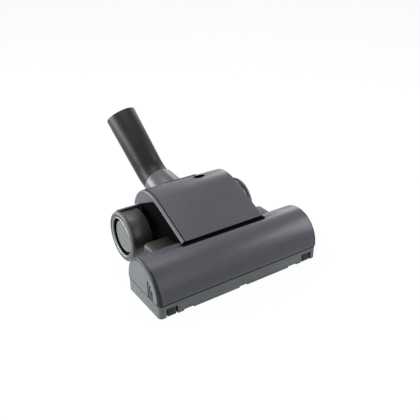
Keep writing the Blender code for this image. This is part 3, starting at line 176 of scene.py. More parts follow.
def moulded(name, dark, light, rough, spread, grain, depth, specular=0.5, metallic=0.0, streak=0.0):
    """A plastic, rubber or metal with cloudy colour, uneven gloss and a fine grain.

    The colour wanders between dark and light, and the roughness by the spread to either side.
    grain is the scale of the fine bumps and depth their height.
    """
    material = bpy.data.materials.new(name)
    material.use_nodes = True
    tree = material.node_tree
    shader = tree.nodes["Principled BSDF"]
    place = tree.nodes.new("ShaderNodeTexCoord")
    mapping = tree.nodes.new("ShaderNodeMapping")
    mapping.inputs["Scale"].default_value = (1 + streak, 1, 1)
    tree.links.new(place.outputs["Object"], mapping.inputs["Vector"])

    def noise(scale, detail, roughness=0.5):
        node = tree.nodes.new("ShaderNodeTexNoise")
        node.inputs["Scale"].default_value = scale
        node.inputs["Detail"].default_value = detail
        node.inputs["Roughness"].default_value = roughness
        tree.links.new(mapping.outputs["Vector"], node.inputs["Vector"])
        return node

    cloud = noise(CLOUD_SCALE, 4, 0.6)
    ramp = tree.nodes.new("ShaderNodeValToRGB")
    for element, position, colour in zip(ramp.color_ramp.elements, NOISE_RANGE, (dark, light)):
        element.position = position
        element.color = (*colour, 1)
    tree.links.new(cloud.outputs["Fac"], ramp.inputs["Fac"])
    tree.links.new(ramp.outputs["Color"], shader.inputs["Base Color"])
    wear = noise(WEAR_SCALE, 6, 0.65)
    gloss = tree.nodes.new("ShaderNodeMapRange")
    gloss.inputs["From Min"].default_value = NOISE_RANGE[0]
    gloss.inputs["From Max"].default_value = NOISE_RANGE[1]
    gloss.inputs["To Min"].default_value = rough - spread
    gloss.inputs["To Max"].default_value = rough + spread
    tree.links.new(wear.outputs["Fac"], gloss.inputs["Value"])
    tree.links.new(gloss.outputs["Result"], shader.inputs["Roughness"])
    fine = noise(grain, 3)
    bump = tree.nodes.new("ShaderNodeBump")
    bump.inputs["Strength"].default_value = 1.0
    bump.inputs["Distance"].default_value = depth
    tree.links.new(fine.outputs["Fac"], bump.inputs["Height"])
    tree.links.new(bump.outputs["Normal"], shader.inputs["Normal"])
    shader.inputs["Specular IOR Level"].default_value = specular
    shader.inputs["Metallic"].default_value = metallic
    return material


COOL = (0.93, 0.95, 1.16)
GREEN = (0.89, 1.03, 1.04)
BLUISH = (1, 1, 1.03)
FINISH = {
    "shell_grey": moulded("shell", grey(0.052, COOL), grey(0.060, COOL), 0.31, 0.03, 5200, 0.000004, 0.28),
    "base_grey": moulded("base", grey(0.084, GREEN), grey(0.097, GREEN), 0.44, 0.05, 4200, 0.000018, 0.35),
    # Near-black, also painted as shade in gaps, slots, holes and recesses.
    "inner_black": moulded("inner", grey(0.0010), grey(0.0018), 0.70, 0.06, 4800, 0.000014, 0.015),
    "wheel_black": moulded("drum", grey(0.034), grey(0.040), 0.32, 0.04, 3600, 0.000004, 0.34),
    "tyre_grey": moulded("tyre", grey(0.044, GREEN), grey(0.054, GREEN), 0.42, 0.06, 3800, 0.00002, 0.4),
    "cap_grey": moulded("cap", grey(0.086, GREEN), grey(0.098, GREEN), 0.38, 0.05, 5200, 0.000012, 0.4),
    "trim_silver": moulded("trim", grey(0.46), grey(0.52), 0.36, 0.05, 2400, 0.0, metallic=0.7),
    "steel": moulded("steel", grey(0.46), grey(0.56), 0.30, 0.08, 5200, 0.000008, metallic=1.0, streak=6),
    "rubber_black": moulded("rubber", grey(0.0085), grey(0.0125), 0.60, 0.06, 3600, 0.00002, 0.35),
    "bristle_black": moulded("bristle", grey(0.012), grey(0.030), 0.38, 0.06, 2600, 0.00001),
    "turbine_white": moulded(
        "blades", grey(0.56, (1, 1, 0.96)), grey(0.64, (1, 1, 0.95)), 0.38, 0.05, 4200, 0.00001
    ),
    "bush_bronze": moulded(
        "bronze", (0.36, 0.25, 0.12), (0.50, 0.36, 0.19), 0.34, 0.08, 4800, 0.00001, metallic=1.0
    ),
    "pipe_grey": moulded("pipe", grey(0.011, BLUISH), grey(0.014, BLUISH), 0.36, 0.04, 4600, 0.000005, 0.14),
    # Satin black, also painted on the lid's front face as shade.
    "satin_black": moulded("satin", grey(0.0035), grey(0.005), 0.48, 0.05, 4600, 0.00001, 0.09),
    "housing_black": moulded("housing", grey(0.0075), grey(0.0105), 0.46, 0.05, 4600, 0.00001, 0.22),
    # Darker copy of the shell grey for the rounded end edges: painted dark reflection.
    "painted_shade_rim": moulded("edge", grey(0.013, COOL), grey(0.017, COOL), 0.31, 0.03, 5200, 0.000004, 0.20),
    # Dark grey for the roller carriers, also put on the shoulders as a shaded copy of the shell grey: painted
    # shade.
    "carrier_grey_and_shoulder_shade": moulded("carrier", grey(0.015), grey(0.019), 0.40, 0.04, 5200, 0.000006, 0.20),
    "roller_grey": moulded("roller", grey(0.010, GREEN), grey(0.014, GREEN), 0.45, 0.05, 3800, 0.00002, 0.3),
}


# Mesh helpers
WELD = 0.000002
SAME_PLANE = math.radians(0.6)


def arc(centre, radius, start, end, steps):
    angles = [start + (end - start) * step / steps for step in range(steps + 1)]
    return [(centre[0] + radius * math.cos(a), centre[1] + radius * math.sin(a)) for a in angles]


def stitch(shape, rings, closed):
    """Faces between neighbouring rings of points, and between the last and the first where closed."""
    pairs = list(zip(rings, rings[1:]))
    if closed:
        pairs.append((rings[-1], rings[0]))
    for first, second in pairs:
        count = max(len(first), len(second))
        for step in range(count):
            after = (step + 1) % count
            corners = [first[step % len(first)], first[after % len(first)]]
            corners += [second[after % len(second)], second[step % len(second)]]
            unique = list(dict.fromkeys(corners))
            if len(unique) > 2:
                shape.faces.new(unique)


def circle(centre, radius, side, other, segments):
    """Points round a circle, from its two crossed directions."""
    turns = [2 * math.pi * step / segments for step in range(segments)]
    return [centre + radius * (math.cos(a) * side + math.sin(a) * other) for a in turns]


def lathe(profile, start, direction, segments=TURN_STEPS):
    """A body turned about an axis, from a profile of (distance along, radius) points."""
    axis = Vector(direction).normalized()
    side = axis.cross(Vector((0, 1, 0))).normalized()
    other = axis.cross(side)
    shape = bmesh.new()
    rings = []
    for along, radius in profile:
        centre = Vector(start) + axis * along
        if radius == 0:
            rings.append([shape.verts.new(centre)])
            continue
        rings.append([shape.verts.new(point) for point in circle(centre, radius, side, other, segments)])
    stitch(shape, rings, len(rings[0]) > 1 and len(rings[-1]) > 1)
    return shape


def loft(rings):
    """A closed body through rings of points, with a flat cap at each end."""
    shape = bmesh.new()
    loops = [[shape.verts.new(point) for point in ring] for ring in rings]
    stitch(shape, loops, False)
    shape.faces.new(loops[0])
    shape.faces.new(loops[-1])
    return shape


def prism_x(outline, low, high):
    return loft([[at(x, y, z) for y, z in outline] for x in (low, high)])


def prism_z(outline, low, high):
    return loft([[at(x, y, z) for x, y in outline] for z in (low, high)])


def box(x_low, x_high, y_low, y_high, z_low, z_high):
    return prism_z([(x_low, y_low), (x_high, y_low), (x_high, y_high), (x_low, y_high)], z_low, z_high)


def rod_x(low, high, place, radius, segments=48):
    length = high - low
    profile = [(0, 0), (0, radius), (length, radius), (length, 0)]
    return lathe(profile, at(low, *place), (1, 0, 0), segments)


def rounded_rectangle(x_low, x_high, y_low, y_high, radius, steps=8):
    points = []
    for x, y, turn in ((x_high, y_high, 0), (x_low, y_high, 1), (x_low, y_low, 2), (x_high, y_low, 3)):
        centre = (x - radius if x == x_high else x + radius, y - radius if y == y_high else y + radius)
        points += arc(centre, radius, turn * math.pi / 2, (turn + 1) * math.pi / 2, steps)
    return points


def solid(shape, name):
    bmesh.ops.recalc_face_normals(shape, faces=shape.faces)
    mesh = bpy.data.meshes.new(name)
    shape.to_mesh(mesh)
    shape.free()
    thing = bpy.data.objects.new(name, mesh)
    bpy.context.scene.collection.objects.link(thing)
    return thing


def carve(thing, tools):
    """Cut or join shapes with exact Booleans, one after another, and keep the result as the mesh."""
    made = []
    for operation, shape in tools:
        tool = solid(shape, "tool")
        made.append(tool)
        modifier = thing.modifiers.new("carve", "BOOLEAN")
        modifier.operation = operation
        modifier.solver = "EXACT"
        modifier.object = tool
    bake(thing)
    for tool in made:
        mesh = tool.data
        bpy.data.objects.remove(tool)
        bpy.data.meshes.remove(mesh)


def bake(thing):
    """Turn the modifiers' result into the object's own mesh."""
    graph = bpy.context.evaluated_depsgraph_get()
    mesh = bpy.data.meshes.new_from_object(thing.evaluated_get(graph))
    old = thing.data
    thing.modifiers.clear()
    thing.data = mesh
    bpy.data.meshes.remove(old)


def dress(thing, name, slot, body, nodes=(), edge=0.0, angle=35, segments=2, look=None):
    """Round the hard edges, shade the piece smooth, give it its finish and its body."""
    thing.name = name
    thing.data.name = name
    thing.data.materials.clear()
    thing.data.materials.append(FINISH[look or slot])
    if edge:
        modifier = thing.modifiers.new("edges", "BEVEL")
        modifier.width = edge
        modifier.segments = segments
        modifier.limit_method = "ANGLE"
        modifier.angle_limit = math.radians(angle)
        modifier.use_clamp_overlap = True
        modifier.miter_outer = "MITER_ARC"
        bake(thing)
    thing.data.shade_smooth()
    thing.data.set_sharp_from_angle(angle=math.radians(angle))
    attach(thing, body)
    if nodes:
        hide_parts(*nodes)
    return thing


def from_node(node, slot, body, look=None, edge=0.00025, angle=35):
    """A piece made of a node's own faces, joined up again, with its hard edges rounded."""
    shape = bmesh.new()
    shape.from_mesh(NODES[node].data)
    bmesh.ops.remove_doubles(shape, verts=shape.verts, dist=WELD)
    bmesh.ops.dissolve_limit(
        shape, angle_limit=SAME_PLANE, verts=shape.verts, edges=shape.edges, use_dissolve_boundaries=False
    )
    return dress(solid(shape, node), f"{node}_finished", slot, body, (node,), edge, angle, look=look)


def paint(thing, slot, chosen, flat=False):
    """A second finish on the faces that the test picks by their centre and their normal."""
    thing.data.materials.append(FINISH[slot])
    index = len(thing.data.materials) - 1
    for face in thing.data.polygons:
        if chosen(face.center, face.normal):
            face.material_index = index
            face.use_smooth = not flat


# Hood over the brush roll
def hood_outline(inset, bottom):
    radius = HOOD_RADIUS - inset
    sides = arc(HOOD_AXIS, radius, 0, math.pi, HOOD_STEPS)
    return [(HOOD_AXIS[0] + radius, bottom), *sides, (HOOD_AXIS[0] - radius, bottom)]


def hood_ring(x, inset, bottom):
    """A section near an end, where the rounded edge grows wider towards the front."""
    ring = []
    turns = [0] + [math.pi * step / HOOD_STEPS for step in range(HOOD_STEPS + 1)] + [math.pi]
    for index, turn in enumerate(turns):
        beyond = max(0, (turn / math.pi - GROWTH_START) / (1 - GROWTH_START))
        wide = 1 + EDGE_GROWTH * beyond ** GROWTH_POWER
        radius = HOOD_RADIUS - inset * wide
        y = HOOD_AXIS[0] + radius * math.cos(turn)
        z = bottom if index in (0, len(turns) - 1) else HOOD_AXIS[1] + radius * math.sin(turn)
        ring.append(at(math.copysign(HALF - (HALF - abs(x)) * wide, x), y, z))
    return ring


def end_sections(half, radius, steps=7):
    """(x, inset) pairs for a quarter-round edge at each end of a length."""
    turns = [math.pi / 2 * step / steps for step in range(steps + 1)]
    right = [(half - radius + radius * math.sin(a), radius * (1 - math.cos(a))) for a in turns]
    return [(-x, inset) for x, inset in reversed(right)] + right


def hollow_painted_shade(centre, normal):
    """True for faces of the skirt, of the end slots and of the hollow under the hood, which are painted
    near-black as shade.
    """
    seam_top = HOOD_BOTTOM + SEAM_OPEN
    if centre.z < seam_top - 0.0002:
        return True
    y = centre.y - FRONT - HOOD_AXIS[0]
    z = max(centre.z - HOOD_AXIS[1], 0)
    from_axis = math.hypot(y, z)
    if abs(centre.x) < HALF - HOOD_WALL + NEAR:
        return from_axis < HOOD_RADIUS - HOOD_WALL + NEAR and centre.z < HOOD_TOP - HOOD_WALL
    slot_reach = HOOD_RADIUS - 0.0045
    end_slot = centre.x < 0 and abs(normal.x) < 0.3 and from_axis < slot_reach
    return end_slot or normal.z < -0.3 and centre.z < seam_top + 0.0002


def end_rim_painted_shade(centre, normal):
    """True for the rounded edge round an end face, which is painted darker as a painted dark reflection."""
    wide = 1 + EDGE_GROWTH * max(0, (FRONT + HOOD_AXIS[0] - centre.y) / HOOD_RADIUS)
    return HALF - HOOD_END_ROUND * wide * 1.02 < abs(centre.x) < HALF - ON_FACE


def end_face_painted_light(centre, normal):
    """True for the flat face at either end of the hood, which is painted a lighter grey as painted light."""
    return abs(centre.x) > HALF - ON_FACE and abs(normal.x) > 0.9


def hood():
    bottom = HOOD_BOTTOM + SEAM_OPEN
    rings = [hood_ring(x, inset, bottom) for x, inset in end_sections(HALF, HOOD_END_ROUND)]
    shell = solid(loft(rings), "hood")
    inner = hood_outline(HOOD_WALL, HOOD_BOTTOM - HOOD_WALL)
    skirt = hood_outline(SKIRT_INSET, HOOD_BOTTOM)
    tools = [("UNION", prism_x(skirt, -HALF + SKIRT_INSET, HALF - SKIRT_INSET))]
    tools.append(("DIFFERENCE", prism_x(inner, -HALF + HOOD_WALL, HALF - HOOD_WALL)))
    for y, top in zip(SLOT_YS, SLOT_TOPS):
        low = y - SLOT_WIDTH / 2
        ends = (-HALF - SLOT_PAST, -HALF + SLOT_DEPTH)
        slot = box(*ends, low, low + SLOT_WIDTH, HOOD_BOTTOM - SLOT_PAST, top)
        tools.append(("DIFFERENCE", slot))
    tools.append(("DIFFERENCE", box(*BELT_WINDOW, *HOOD_BACK, BRUSH[1], BELT_WINDOW_TOP)))
    tools.append(("DIFFERENCE", box(-PORT_HALF, PORT_HALF, *HOOD_BACK, *PORT_HEIGHTS)))
    half = STRIP_HALF + SEAT_GAP
    back = LID_FRONT[0] + LID_LIP + SEAT_GAP
    channel = rounded_rectangle(-half, half, STRIP_FRONT - SEAT_GAP, back, CHANNEL_ROUND)
    tools.append(("DIFFERENCE", prism_z(channel, HOOD_TOP - CHANNEL_DEPTH, HOOD_TOP + PAST)))
    carve(shell, tools)
    dress(shell, "hood_shell", "shell_grey", "body", ("front_hood",), edge=0.00022, angle=40)
    # The flat end faces take the lighter grey-green of the base: their own plate tone, made lighter as
    # painted light from the left.
    paint(shell, "base_grey", end_face_painted_light, flat=True)
    # The rounded end edges get the darker grey: painted dark reflection.
    paint(shell, "painted_shade_rim", end_rim_painted_shade)
    # The seam skirt, the end slots and the inside of the hood are painted near-black: painted shade.
    paint(shell, "inner_black", hollow_painted_shade)


# Turbine lid
def slope_touch():
    between = Vector(CROWN) - Vector(LID_FRONT)
    slope = math.atan2(between.y, between.x) + math.asin(CROWN_RADIUS / between.length)
    return (CROWN[0] - CROWN_RADIUS * math.sin(slope), CROWN[1] + CROWN_RADIUS * math.cos(slope)), slope


TOUCH, SLOPE = slope_touch()


def under_lid(depth, y):
    """The height at y of a face that lies under the lid's slope by the depth."""
    return LID_FRONT[1] + (y - LID_FRONT[0]) * math.tan(SLOPE) - depth / math.cos(SLOPE)


def inside_skin(centre):
    """True for points that lie under the lid's outer face."""
    y = centre.y - FRONT
    if y < TOUCH[0]:
        return centre.z < under_lid(UNDER_SKIN, y)
    return math.hypot(y - CROWN[0], centre.z - CROWN[1]) < CROWN_RADIUS - UNDER_SKIN


def groove_painted_shade(centre, normal):
    """True for the faces of the groove beside the lid's left edge, which are painted near-black as shade."""
    return abs(centre.x + GROOVE_PLACE) < GROOVE_SHADE_HALF and inside_skin(centre)


def grip_hole_painted_shade(centre, normal):
    """True for the wall of the oval finger hole, which is painted near-black as shade."""
    x = (centre.x - GRIP_HOLE[0]) / GRIP_HOLE[2]
    y = (centre.y - FRONT - GRIP_HOLE[1]) / GRIP_HOLE[3]
    return math.hypot(x, y) < 1.04 and normal.z < 0.6


def lid():
    flange = LID_WALL + 0.0010
    lip_back = LID_FRONT[0] + LID_LIP
    lip_bottom = STRIP_TOP + SEAT_GAP
    crown_start = math.pi / 2 + SLOPE

    def section(inset):
        front_y = LID_FRONT[0] + inset * LID_FRONT_LEAN
        rear = arc(CROWN, CROWN_RADIUS - flange, LID_REAR, LID_REAR, 1)[0]
        bend_y = TOUCH[0] - flange
        return [
            (front_y, under_lid(inset, front_y)),
            *arc(CROWN, CROWN_RADIUS - inset, crown_start, LID_REAR, LID_STEPS),
            rear,
            (LID_BEND_Y, under_lid(flange, TOUCH[0])),
            (bend_y, under_lid(flange, bend_y)),
            (lip_back, under_lid(flange, lip_back)),
            (lip_back, lip_bottom),
            (LID_FRONT[0] + LID_LIP * 0.7, lip_bottom),
        ]

    right = [(x, inset) for x, inset in end_sections(LID_HALF, LID_ROUND) if x > 0]
    groove = [
        (GROOVE_PLACE - GROOVE_HALF, 0),
        (GROOVE_PLACE - GROOVE_FLOOR_HALF, GROOVE_DEPTH),
        (GROOVE_PLACE + GROOVE_FLOOR_HALF, GROOVE_DEPTH),
        (GROOVE_PLACE + GROOVE_HALF, 0),
    ]
    places = [(-x, inset) for x, inset in reversed(groove + right)] + right
    rings = [[at(x, y, z) for y, z in section(inset)] for x, inset in places]
    cover = solid(loft(rings), "lid")
    hollow = [(lip_back, BELOW_LID), (lip_back, under_lid(LID_WALL, lip_back))]
    hollow += arc(CROWN, CROWN_RADIUS - LID_WALL, crown_start, HINGE, LID_STEPS)
    hollow += [(CROWN[0] + CROWN_RADIUS - LID_WALL, BELOW_LID)]
    tools = [("DIFFERENCE", prism_x(hollow, -LID_HALF + LID_WALL, LID_HALF - LID_WALL))]
    hinge_radius = CROWN_RADIUS - LID_WALL / 2
    hinge = (CROWN[0] + hinge_radius * math.cos(HINGE), CROWN[1] + hinge_radius * math.sin(HINGE))
    strap_start = LID_REAR * 1.2
    for side in (-1, 1):
        low, high = sorted((side * KNUCKLES[0], side * KNUCKLES[1]))
        strap = arc(CROWN, CROWN_RADIUS - SEAT_GAP, strap_start, HINGE, 8)
        strap += arc(CROWN, CROWN_RADIUS - LID_WALL + SEAT_GAP, HINGE, strap_start, 8)
        tools.append(("UNION", prism_x(strap, low, high)))
        tools.append(("UNION", rod_x(low, high, hinge, KNUCKLE_RADIUS, 32)))
    tools.append(("DIFFERENCE", rod_x(-LID_HALF, LID_HALF, hinge, HINGE_BORE, 24)))
    gap = rounded_rectangle(-NECK_SLOT, NECK_SLOT, NECK_CUT_Y, NECK_CUT_Y + 0.09, NECK_SLOT_ROUND, 4)
    tools.append(("DIFFERENCE", prism_z(gap, BELOW_LID, ABOVE_LID)))
    hole_x, hole_y, half_width, half_depth = GRIP_HOLE
    turns = [2 * math.pi * step / 48 for step in range(48)]
    oval = [(hole_x + half_width * math.cos(a), hole_y + half_depth * math.sin(a)) for a in turns]
    tools.append(("DIFFERENCE", prism_z(oval, CROWN[1] + CROWN_RADIUS / 2, ABOVE_LID)))
    carve(cover, tools)
    dress(cover, "lid_cover", "shell_grey", "lid", ("turbine_lid",), edge=0.00025, angle=40)
    lip_y = at(0, lip_back, 0).y
    # The lid's front face is painted satin black: painted shade under the lid's front edge.
    paint(cover, "satin_black", lambda centre, normal: normal.y < -0.85 and centre.y < lip_y)
    # The groove is painted near-black: painted shade.
    paint(cover, "inner_black", groove_painted_shade)
    # The finger hole's wall is painted near-black: painted shade.
    paint(cover, "inner_black", grip_hole_painted_shade)


# Neck and pipe
def smooth_profile(points, steps):
    """A smooth curve through (distance, radius) points."""
    made = []
    for index in range(len(points) - 1):
        before = Vector(points[max(index - 1, 0)])
        first = Vector(points[index])
        second = Vector(points[index + 1])
        after = Vector(points[min(index + 2, len(points) - 1)])
        for step in range(steps):
            t = step / steps
            slope_in = (second - before) * 0.5
            slope_out = (after - first) * 0.5
            spot = (2 * t**3 - 3 * t**2 + 1) * first + (t**3 - 2 * t**2 + t) * slope_in
            spot += (-2 * t**3 + 3 * t**2) * second + (t**3 - t**2) * slope_out
            made.append((spot.x, spot.y))
    return made + [points[-1]]


def neck():
    length = NECK_LENGTH - SEAT_GAP
    bulge = NECK_BULGE - NECK_RADIUS
    curve = [(length * share, NECK_RADIUS + bulge * swell) for share, swell in NECK_PROFILE]
    curve = [(length * 0.12, NECK_RADIUS), *curve, (length - 0.0006, NECK_RADIUS + 0.0002)]
    profile = [(0, 0), (0, NECK_RADIUS), *smooth_profile(curve, 6)]
    profile += [(length, NECK_RADIUS - 0.0004), (length, 0)]
    drum_half, drum, end, trunnion = 0.0260, 0.0245, 0.0350, 0.0050
    cross = [(drum_half, drum), (drum_half, trunnion), (end, trunnion), (end, 0)]
    cross = [(-x, r) for x, r in reversed(cross)] + cross
    thing = solid(lathe(cross, TILT_POINT, (1, 0, 0)), "neck")
    bore_length = 0.2
    bore_profile = [(0, 0), (0, NECK_BORE), (bore_length, NECK_BORE), (bore_length, 0)]
    bore = lathe(bore_profile, TILT_POINT - 2 * drum * NECK_DIR, NECK_DIR)
    carve(thing, [("UNION", lathe(profile, TILT_POINT, NECK_DIR)), ("DIFFERENCE", bore)])
    dress(thing, "neck_finished", "shell_grey", "neck", ("neck_tube",), edge=0.0002, angle=40)


def pipe():
    binormal = NECK_DIR.cross(PIPE_SIDE)
    centre = SWIVEL_POINT + ELBOW_RADIUS * PIPE_SIDE
    corner = SWIVEL_POINT + ELBOW_RADIUS * math.tan(PIPE_BEND / 2) * NECK_DIR
    mouth_side = math.cos(PIPE_BEND) * PIPE_SIDE - math.sin(PIPE_BEND) * NECK_DIR
    spigot, spigot_bore, spigot_length = 0.0184, 0.0164, 0.0180
    lug, lug_length = spigot + 0.001, 0.002

    def bend(share, radius):
        angle = PIPE_BEND * share
        side = math.cos(angle) * PIPE_SIDE - math.sin(angle) * NECK_DIR
        return centre - ELBOW_RADIUS * side, side, radius

    lug_end = -spigot_length + lug_length
    outside = [(-spigot_length, spigot_bore), (-spigot_length, lug), (lug_end, lug), (lug_end, spigot)]
    outside += [(SEAT_GAP, spigot), (SEAT_GAP, NECK_RADIUS - 0.0005)]
    outside += [(SEAT_GAP + 0.0002, NECK_RADIUS - 0.00015), (SEAT_GAP + 0.0006, NECK_RADIUS)]
    rings = [(SWIVEL_POINT + along * NECK_DIR, PIPE_SIDE, radius) for along, radius in outside]
    steps = 18
    rings += [bend((step + 0.9) / steps, NECK_RADIUS) for step in range(steps)]
    mouth = [(PIPE_LENGTH - 0.0009, MOUTH_RADIUS), (PIPE_LENGTH - 0.0003, MOUTH_RADIUS - 0.0003)]
    mouth += [(PIPE_LENGTH, MOUTH_RADIUS - 0.0009), (PIPE_LENGTH, MOUTH_BORE + 0.0010)]
    mouth += [(PIPE_LENGTH - 0.0003, MOUTH_BORE + 0.0003), (PIPE_LENGTH - 0.0010, MOUTH_BORE)]
    mouth += [(PIPE_LENGTH - SOCKET, PIPE_BORE), (PIPE_LENGTH - SOCKET, PIPE_BORE - 0.0010)]
    rings += [(corner + along * PIPE_DIR, mouth_side, radius) for along, radius in mouth]
    rings += [bend(1 - (step + 0.5) / steps, spigot_bore) for step in range(steps)]
    shape = bmesh.new()
    loops = []
    for middle, side, radius in rings:
        points = circle(middle, radius, side, binormal, TURN_STEPS)
        loops.append([shape.verts.new(point) for point in points])
    stitch(shape, loops, True)
    dress(solid(shape, "pipe"), "pipe_finished", "pipe_grey", "pipe", ("swivel_pipe",), angle=50)


# Wheels
def drum_profile(recess, web, trim, seat):
    """The wheel's own section: web, recess, seat of the trim ring, seat of the tyre and drum."""
    drum = 0.0343
    drum_start = 0.0056
    wall = 0.0024
    inner = drum - wall
    hub, bore = 0.008, 0.0033
    return [
        (web, bore), (web, recess - 0.0005), (web - 0.0005, recess), (trim * 2, recess),
        (trim * 2, recess + trim), (SEAT_GAP, recess + trim), (SEAT_GAP, seat - SEAT_GAP),
        (drum_start, seat - SEAT_GAP), (drum_start, drum - 0.0005), (drum_start + 0.0004, drum),
        (WHEEL_WIDTH - 0.0012, drum), (WHEEL_WIDTH - 0.0003, drum - 0.0004), (WHEEL_WIDTH, drum - 0.0012),
        (WHEEL_WIDTH, inner), (web + wall, inner), (web + wall, hub), (WHEEL_WIDTH, hub), (WHEEL_WIDTH, bore),
    ]


def tyre_profile(seat):
    """The tyre, with its outer shoulder rounded."""
    rounding, width = 0.0026, 0.0050
    turns = [math.pi / 2 * step / 8 for step in range(9)]
    profile = [(SEAT_GAP, seat), (0, seat + 0.0004)]
    for a in turns:
        profile.append((rounding - rounding * math.cos(a), WHEEL_RADIUS - rounding + rounding * math.sin(a)))
    profile += [(width - 0.0006, WHEEL_RADIUS), (width - 0.0001, WHEEL_RADIUS - 0.0003)]
    return profile + [(width, WHEEL_RADIUS - 0.0008), (width, seat)]


def trim_profile(recess, trim):
    """The bright ring, with a half-round face."""
    low, high = recess + SEAT_GAP, recess + trim - SEAT_GAP
    bead = (trim - SEAT_GAP * 2) / 2
    turns = [math.pi * step / 8 for step in range(9)]
    profile = [(bead - bead * math.sin(a), low + bead - bead * math.cos(a)) for a in turns]
    return profile + [(trim * 2 - SEAT_GAP, high), (trim * 2 - SEAT_GAP, low)]


def cap_profile(web):
    """The disc in the wheel's recess, with a slightly domed face."""
    inset, dome, cap, clear = 0.0026, 0.0018, 0.0228, 0.006
    steps = 10
    profile = [(inset, 0)]
    for step in range(1, steps + 1):
        profile.append((inset + dome * 0.45 * (step / steps) ** 2, cap * 0.94 * step / steps))
    profile += [(inset + dome * 0.55, cap * 0.975), (inset + dome * 0.8, cap), (web - SEAT_GAP, cap)]
    return profile + [(web - SEAT_GAP, clear), (inset + dome, clear), (inset + dome, 0)]


def wheels():
    recess, web, trim = 0.0270, 0.0062, 0.0013
    seat = WHEEL_RADIUS - 0.0042
    for side, name in ((-1, "left"), (1, "right")):
        outer = at(side * WHEEL_OUTER, *WHEEL)

        # The wheel's recess round the hub cap is painted near-black: painted shade.
        def recess_painted_shade(centre, normal):
            from_hub = math.hypot(centre.y - outer.y, centre.z - outer.z)
            return from_hub < recess + NEAR and abs(centre.x - outer.x) < web + 0.0005

        parts = (
            ("drum", "wheel", drum_profile(recess, web, trim, seat), "wheel_black", 0.00015, 40),
            ("tyre", "tyre", tyre_profile(seat), "tyre_grey", 0, 35),
            ("trim", "hub_trim", trim_profile(recess, trim), "trim_silver", 0, 35),
            ("cap", "hub_cap", cap_profile(web), "cap_grey", 0, 35),
        )
        for part, node, profile, slot, edge, angle in parts:
            thing = solid(lathe(profile, outer, (-side, 0, 0)), part)
            dress(thing, f"wheel_{name}_{part}", slot, f"wheel_{name}_body", (f"{node}_{name}",), edge, angle)
            if part == "drum":
                paint(thing, "inner_black", recess_painted_shade)


# Bristles
TUFT_PITCH = 0.0042
ROW_START = 0.4
ROW_TWIST = 1.25
HAIRS = 20
HAIR_RADIUS = 0.00016
FOOT_SPREAD = (0.0011, 0.0010)
HEAD_SPREAD = 0.0019
TIP_SPREAD = 0.0009
TIP_SWING = 0.02


def add_hair(shape, dice, x, angle):
    """One three-sided filament, from (along the roll, angle, radius) points at its foot and its head."""
    spread = dice.uniform(-1, 1)
    swing = dice.uniform(-1, 1)
    tip = TIP_RADIUS - dice.uniform(0, TIP_SPREAD)
    foot_angle = angle + swing * FOOT_SPREAD[1] / CORE_RADIUS
    head_angle = angle + swing * HEAD_SPREAD / tip + dice.uniform(-TIP_SWING, TIP_SWING)
    foot = (x + spread * FOOT_SPREAD[0], foot_angle, CORE_RADIUS + 0.0002)
    head = (x + spread * HEAD_SPREAD, head_angle, tip)
    rings = []
    for share in (0, 0.5, 1):
        along, turned, radius = [a + (b - a) * share for a, b in zip(foot, head)]
        ring = []
        for corner in (0, 2 * math.pi / 3, 4 * math.pi / 3):
            corner_x = along + HAIR_RADIUS * math.cos(corner)
            a = turned + HAIR_RADIUS * math.sin(corner) / radius
            point = at(corner_x, BRUSH[0] + radius * math.cos(a), BRUSH[1] + radius * math.sin(a))
            ring.append(shape.verts.new(point))
        rings.append(ring)
    stitch(shape, rings, False)
    shape.faces.new(rings[0])
    shape.faces.new(rings[-1])


def bristles():
    """Tufts of thin filaments in two helical rows, with a gap where the belt runs."""
    dice = random.Random(7)
    for row in (1, 2):
        turn = math.pi * (row - 1) + ROW_START
        for name, low, high in (("left", -0.1067, -0.0585), ("right", -0.0475, 0.1067)):
            shape = bmesh.new()
            count = round((high - low) / TUFT_PITCH)
            for tuft in range(count):
                x = low + (tuft + 0.5) * (high - low) / count
                angle = turn + ROW_TWIST * x / CORE_HALF * math.pi / 2
                for hair in range(HAIRS):
                    add_hair(shape, dice, x, angle)
            thing = solid(shape, "bristles")
            node = f"bristle_row_{row}_{name}"
            dress(thing, f"bristles_{row}_{name}", "bristle_black", "brush_roll", (node,), angle=75)


# Pieces that keep their node's own faces
def sole_gap_painted_shade(centre, normal):
    """True for the frame's top rim under the hood, and the inside of the cut-outs in its front wall, which
    are painted near-black as shade.
    """
    if normal.z > 0.3 and centre.z > HOOD_BOTTOM - 0.0012:
        return True
    side = abs(normal.x) > 0.9 and abs(centre.x) < HALF - 0.004
    above = normal.z < -0.5 and centre.z > 0.0035
    return centre.y < at(0, 0.010, 0).y and (side or above)


def housing_painted_shade(centre, normal):
    """True for the faces of the turbine housing that look to the sides or to the front, which are painted
    near-black as shade.
    """
    return abs(normal.x) > 0.7 or normal.y < -0.3


def on_guard_end(centre, normal):
    """True for the flat side faces of a wheel guard."""
    return abs(normal.x) > 0.9


hood()
lid()
neck()
pipe()
wheels()
bristles()

SLOTS = {entry["node"]: entry["material_slot"] for entry in frame["record"]["subparts"]}
BODIES = {node: body for body, nodes in frame["record"]["behaviour"]["bodies"].items() for node in nodes}
LOOKS = {
    # The strip under the lid's front edge is made near-black: painted shade under the lid's edge.
    "gap_strip": "inner_black",
    "turbine_housing": "housing_black",
    # The shoulders take the carrier's dark grey in place of the shell grey: painted shade.
    "shoulder_left": "carrier_grey_and_shoulder_shade",
    "shoulder_right": "carrier_grey_and_shoulder_shade",
    "roller_carrier_left": "carrier_grey_and_shoulder_shade",
    "roller_carrier_right": "carrier_grey_and_shoulder_shade",
    "front_roller_left": "roller_grey",
    "front_roller_right": "roller_grey",
}
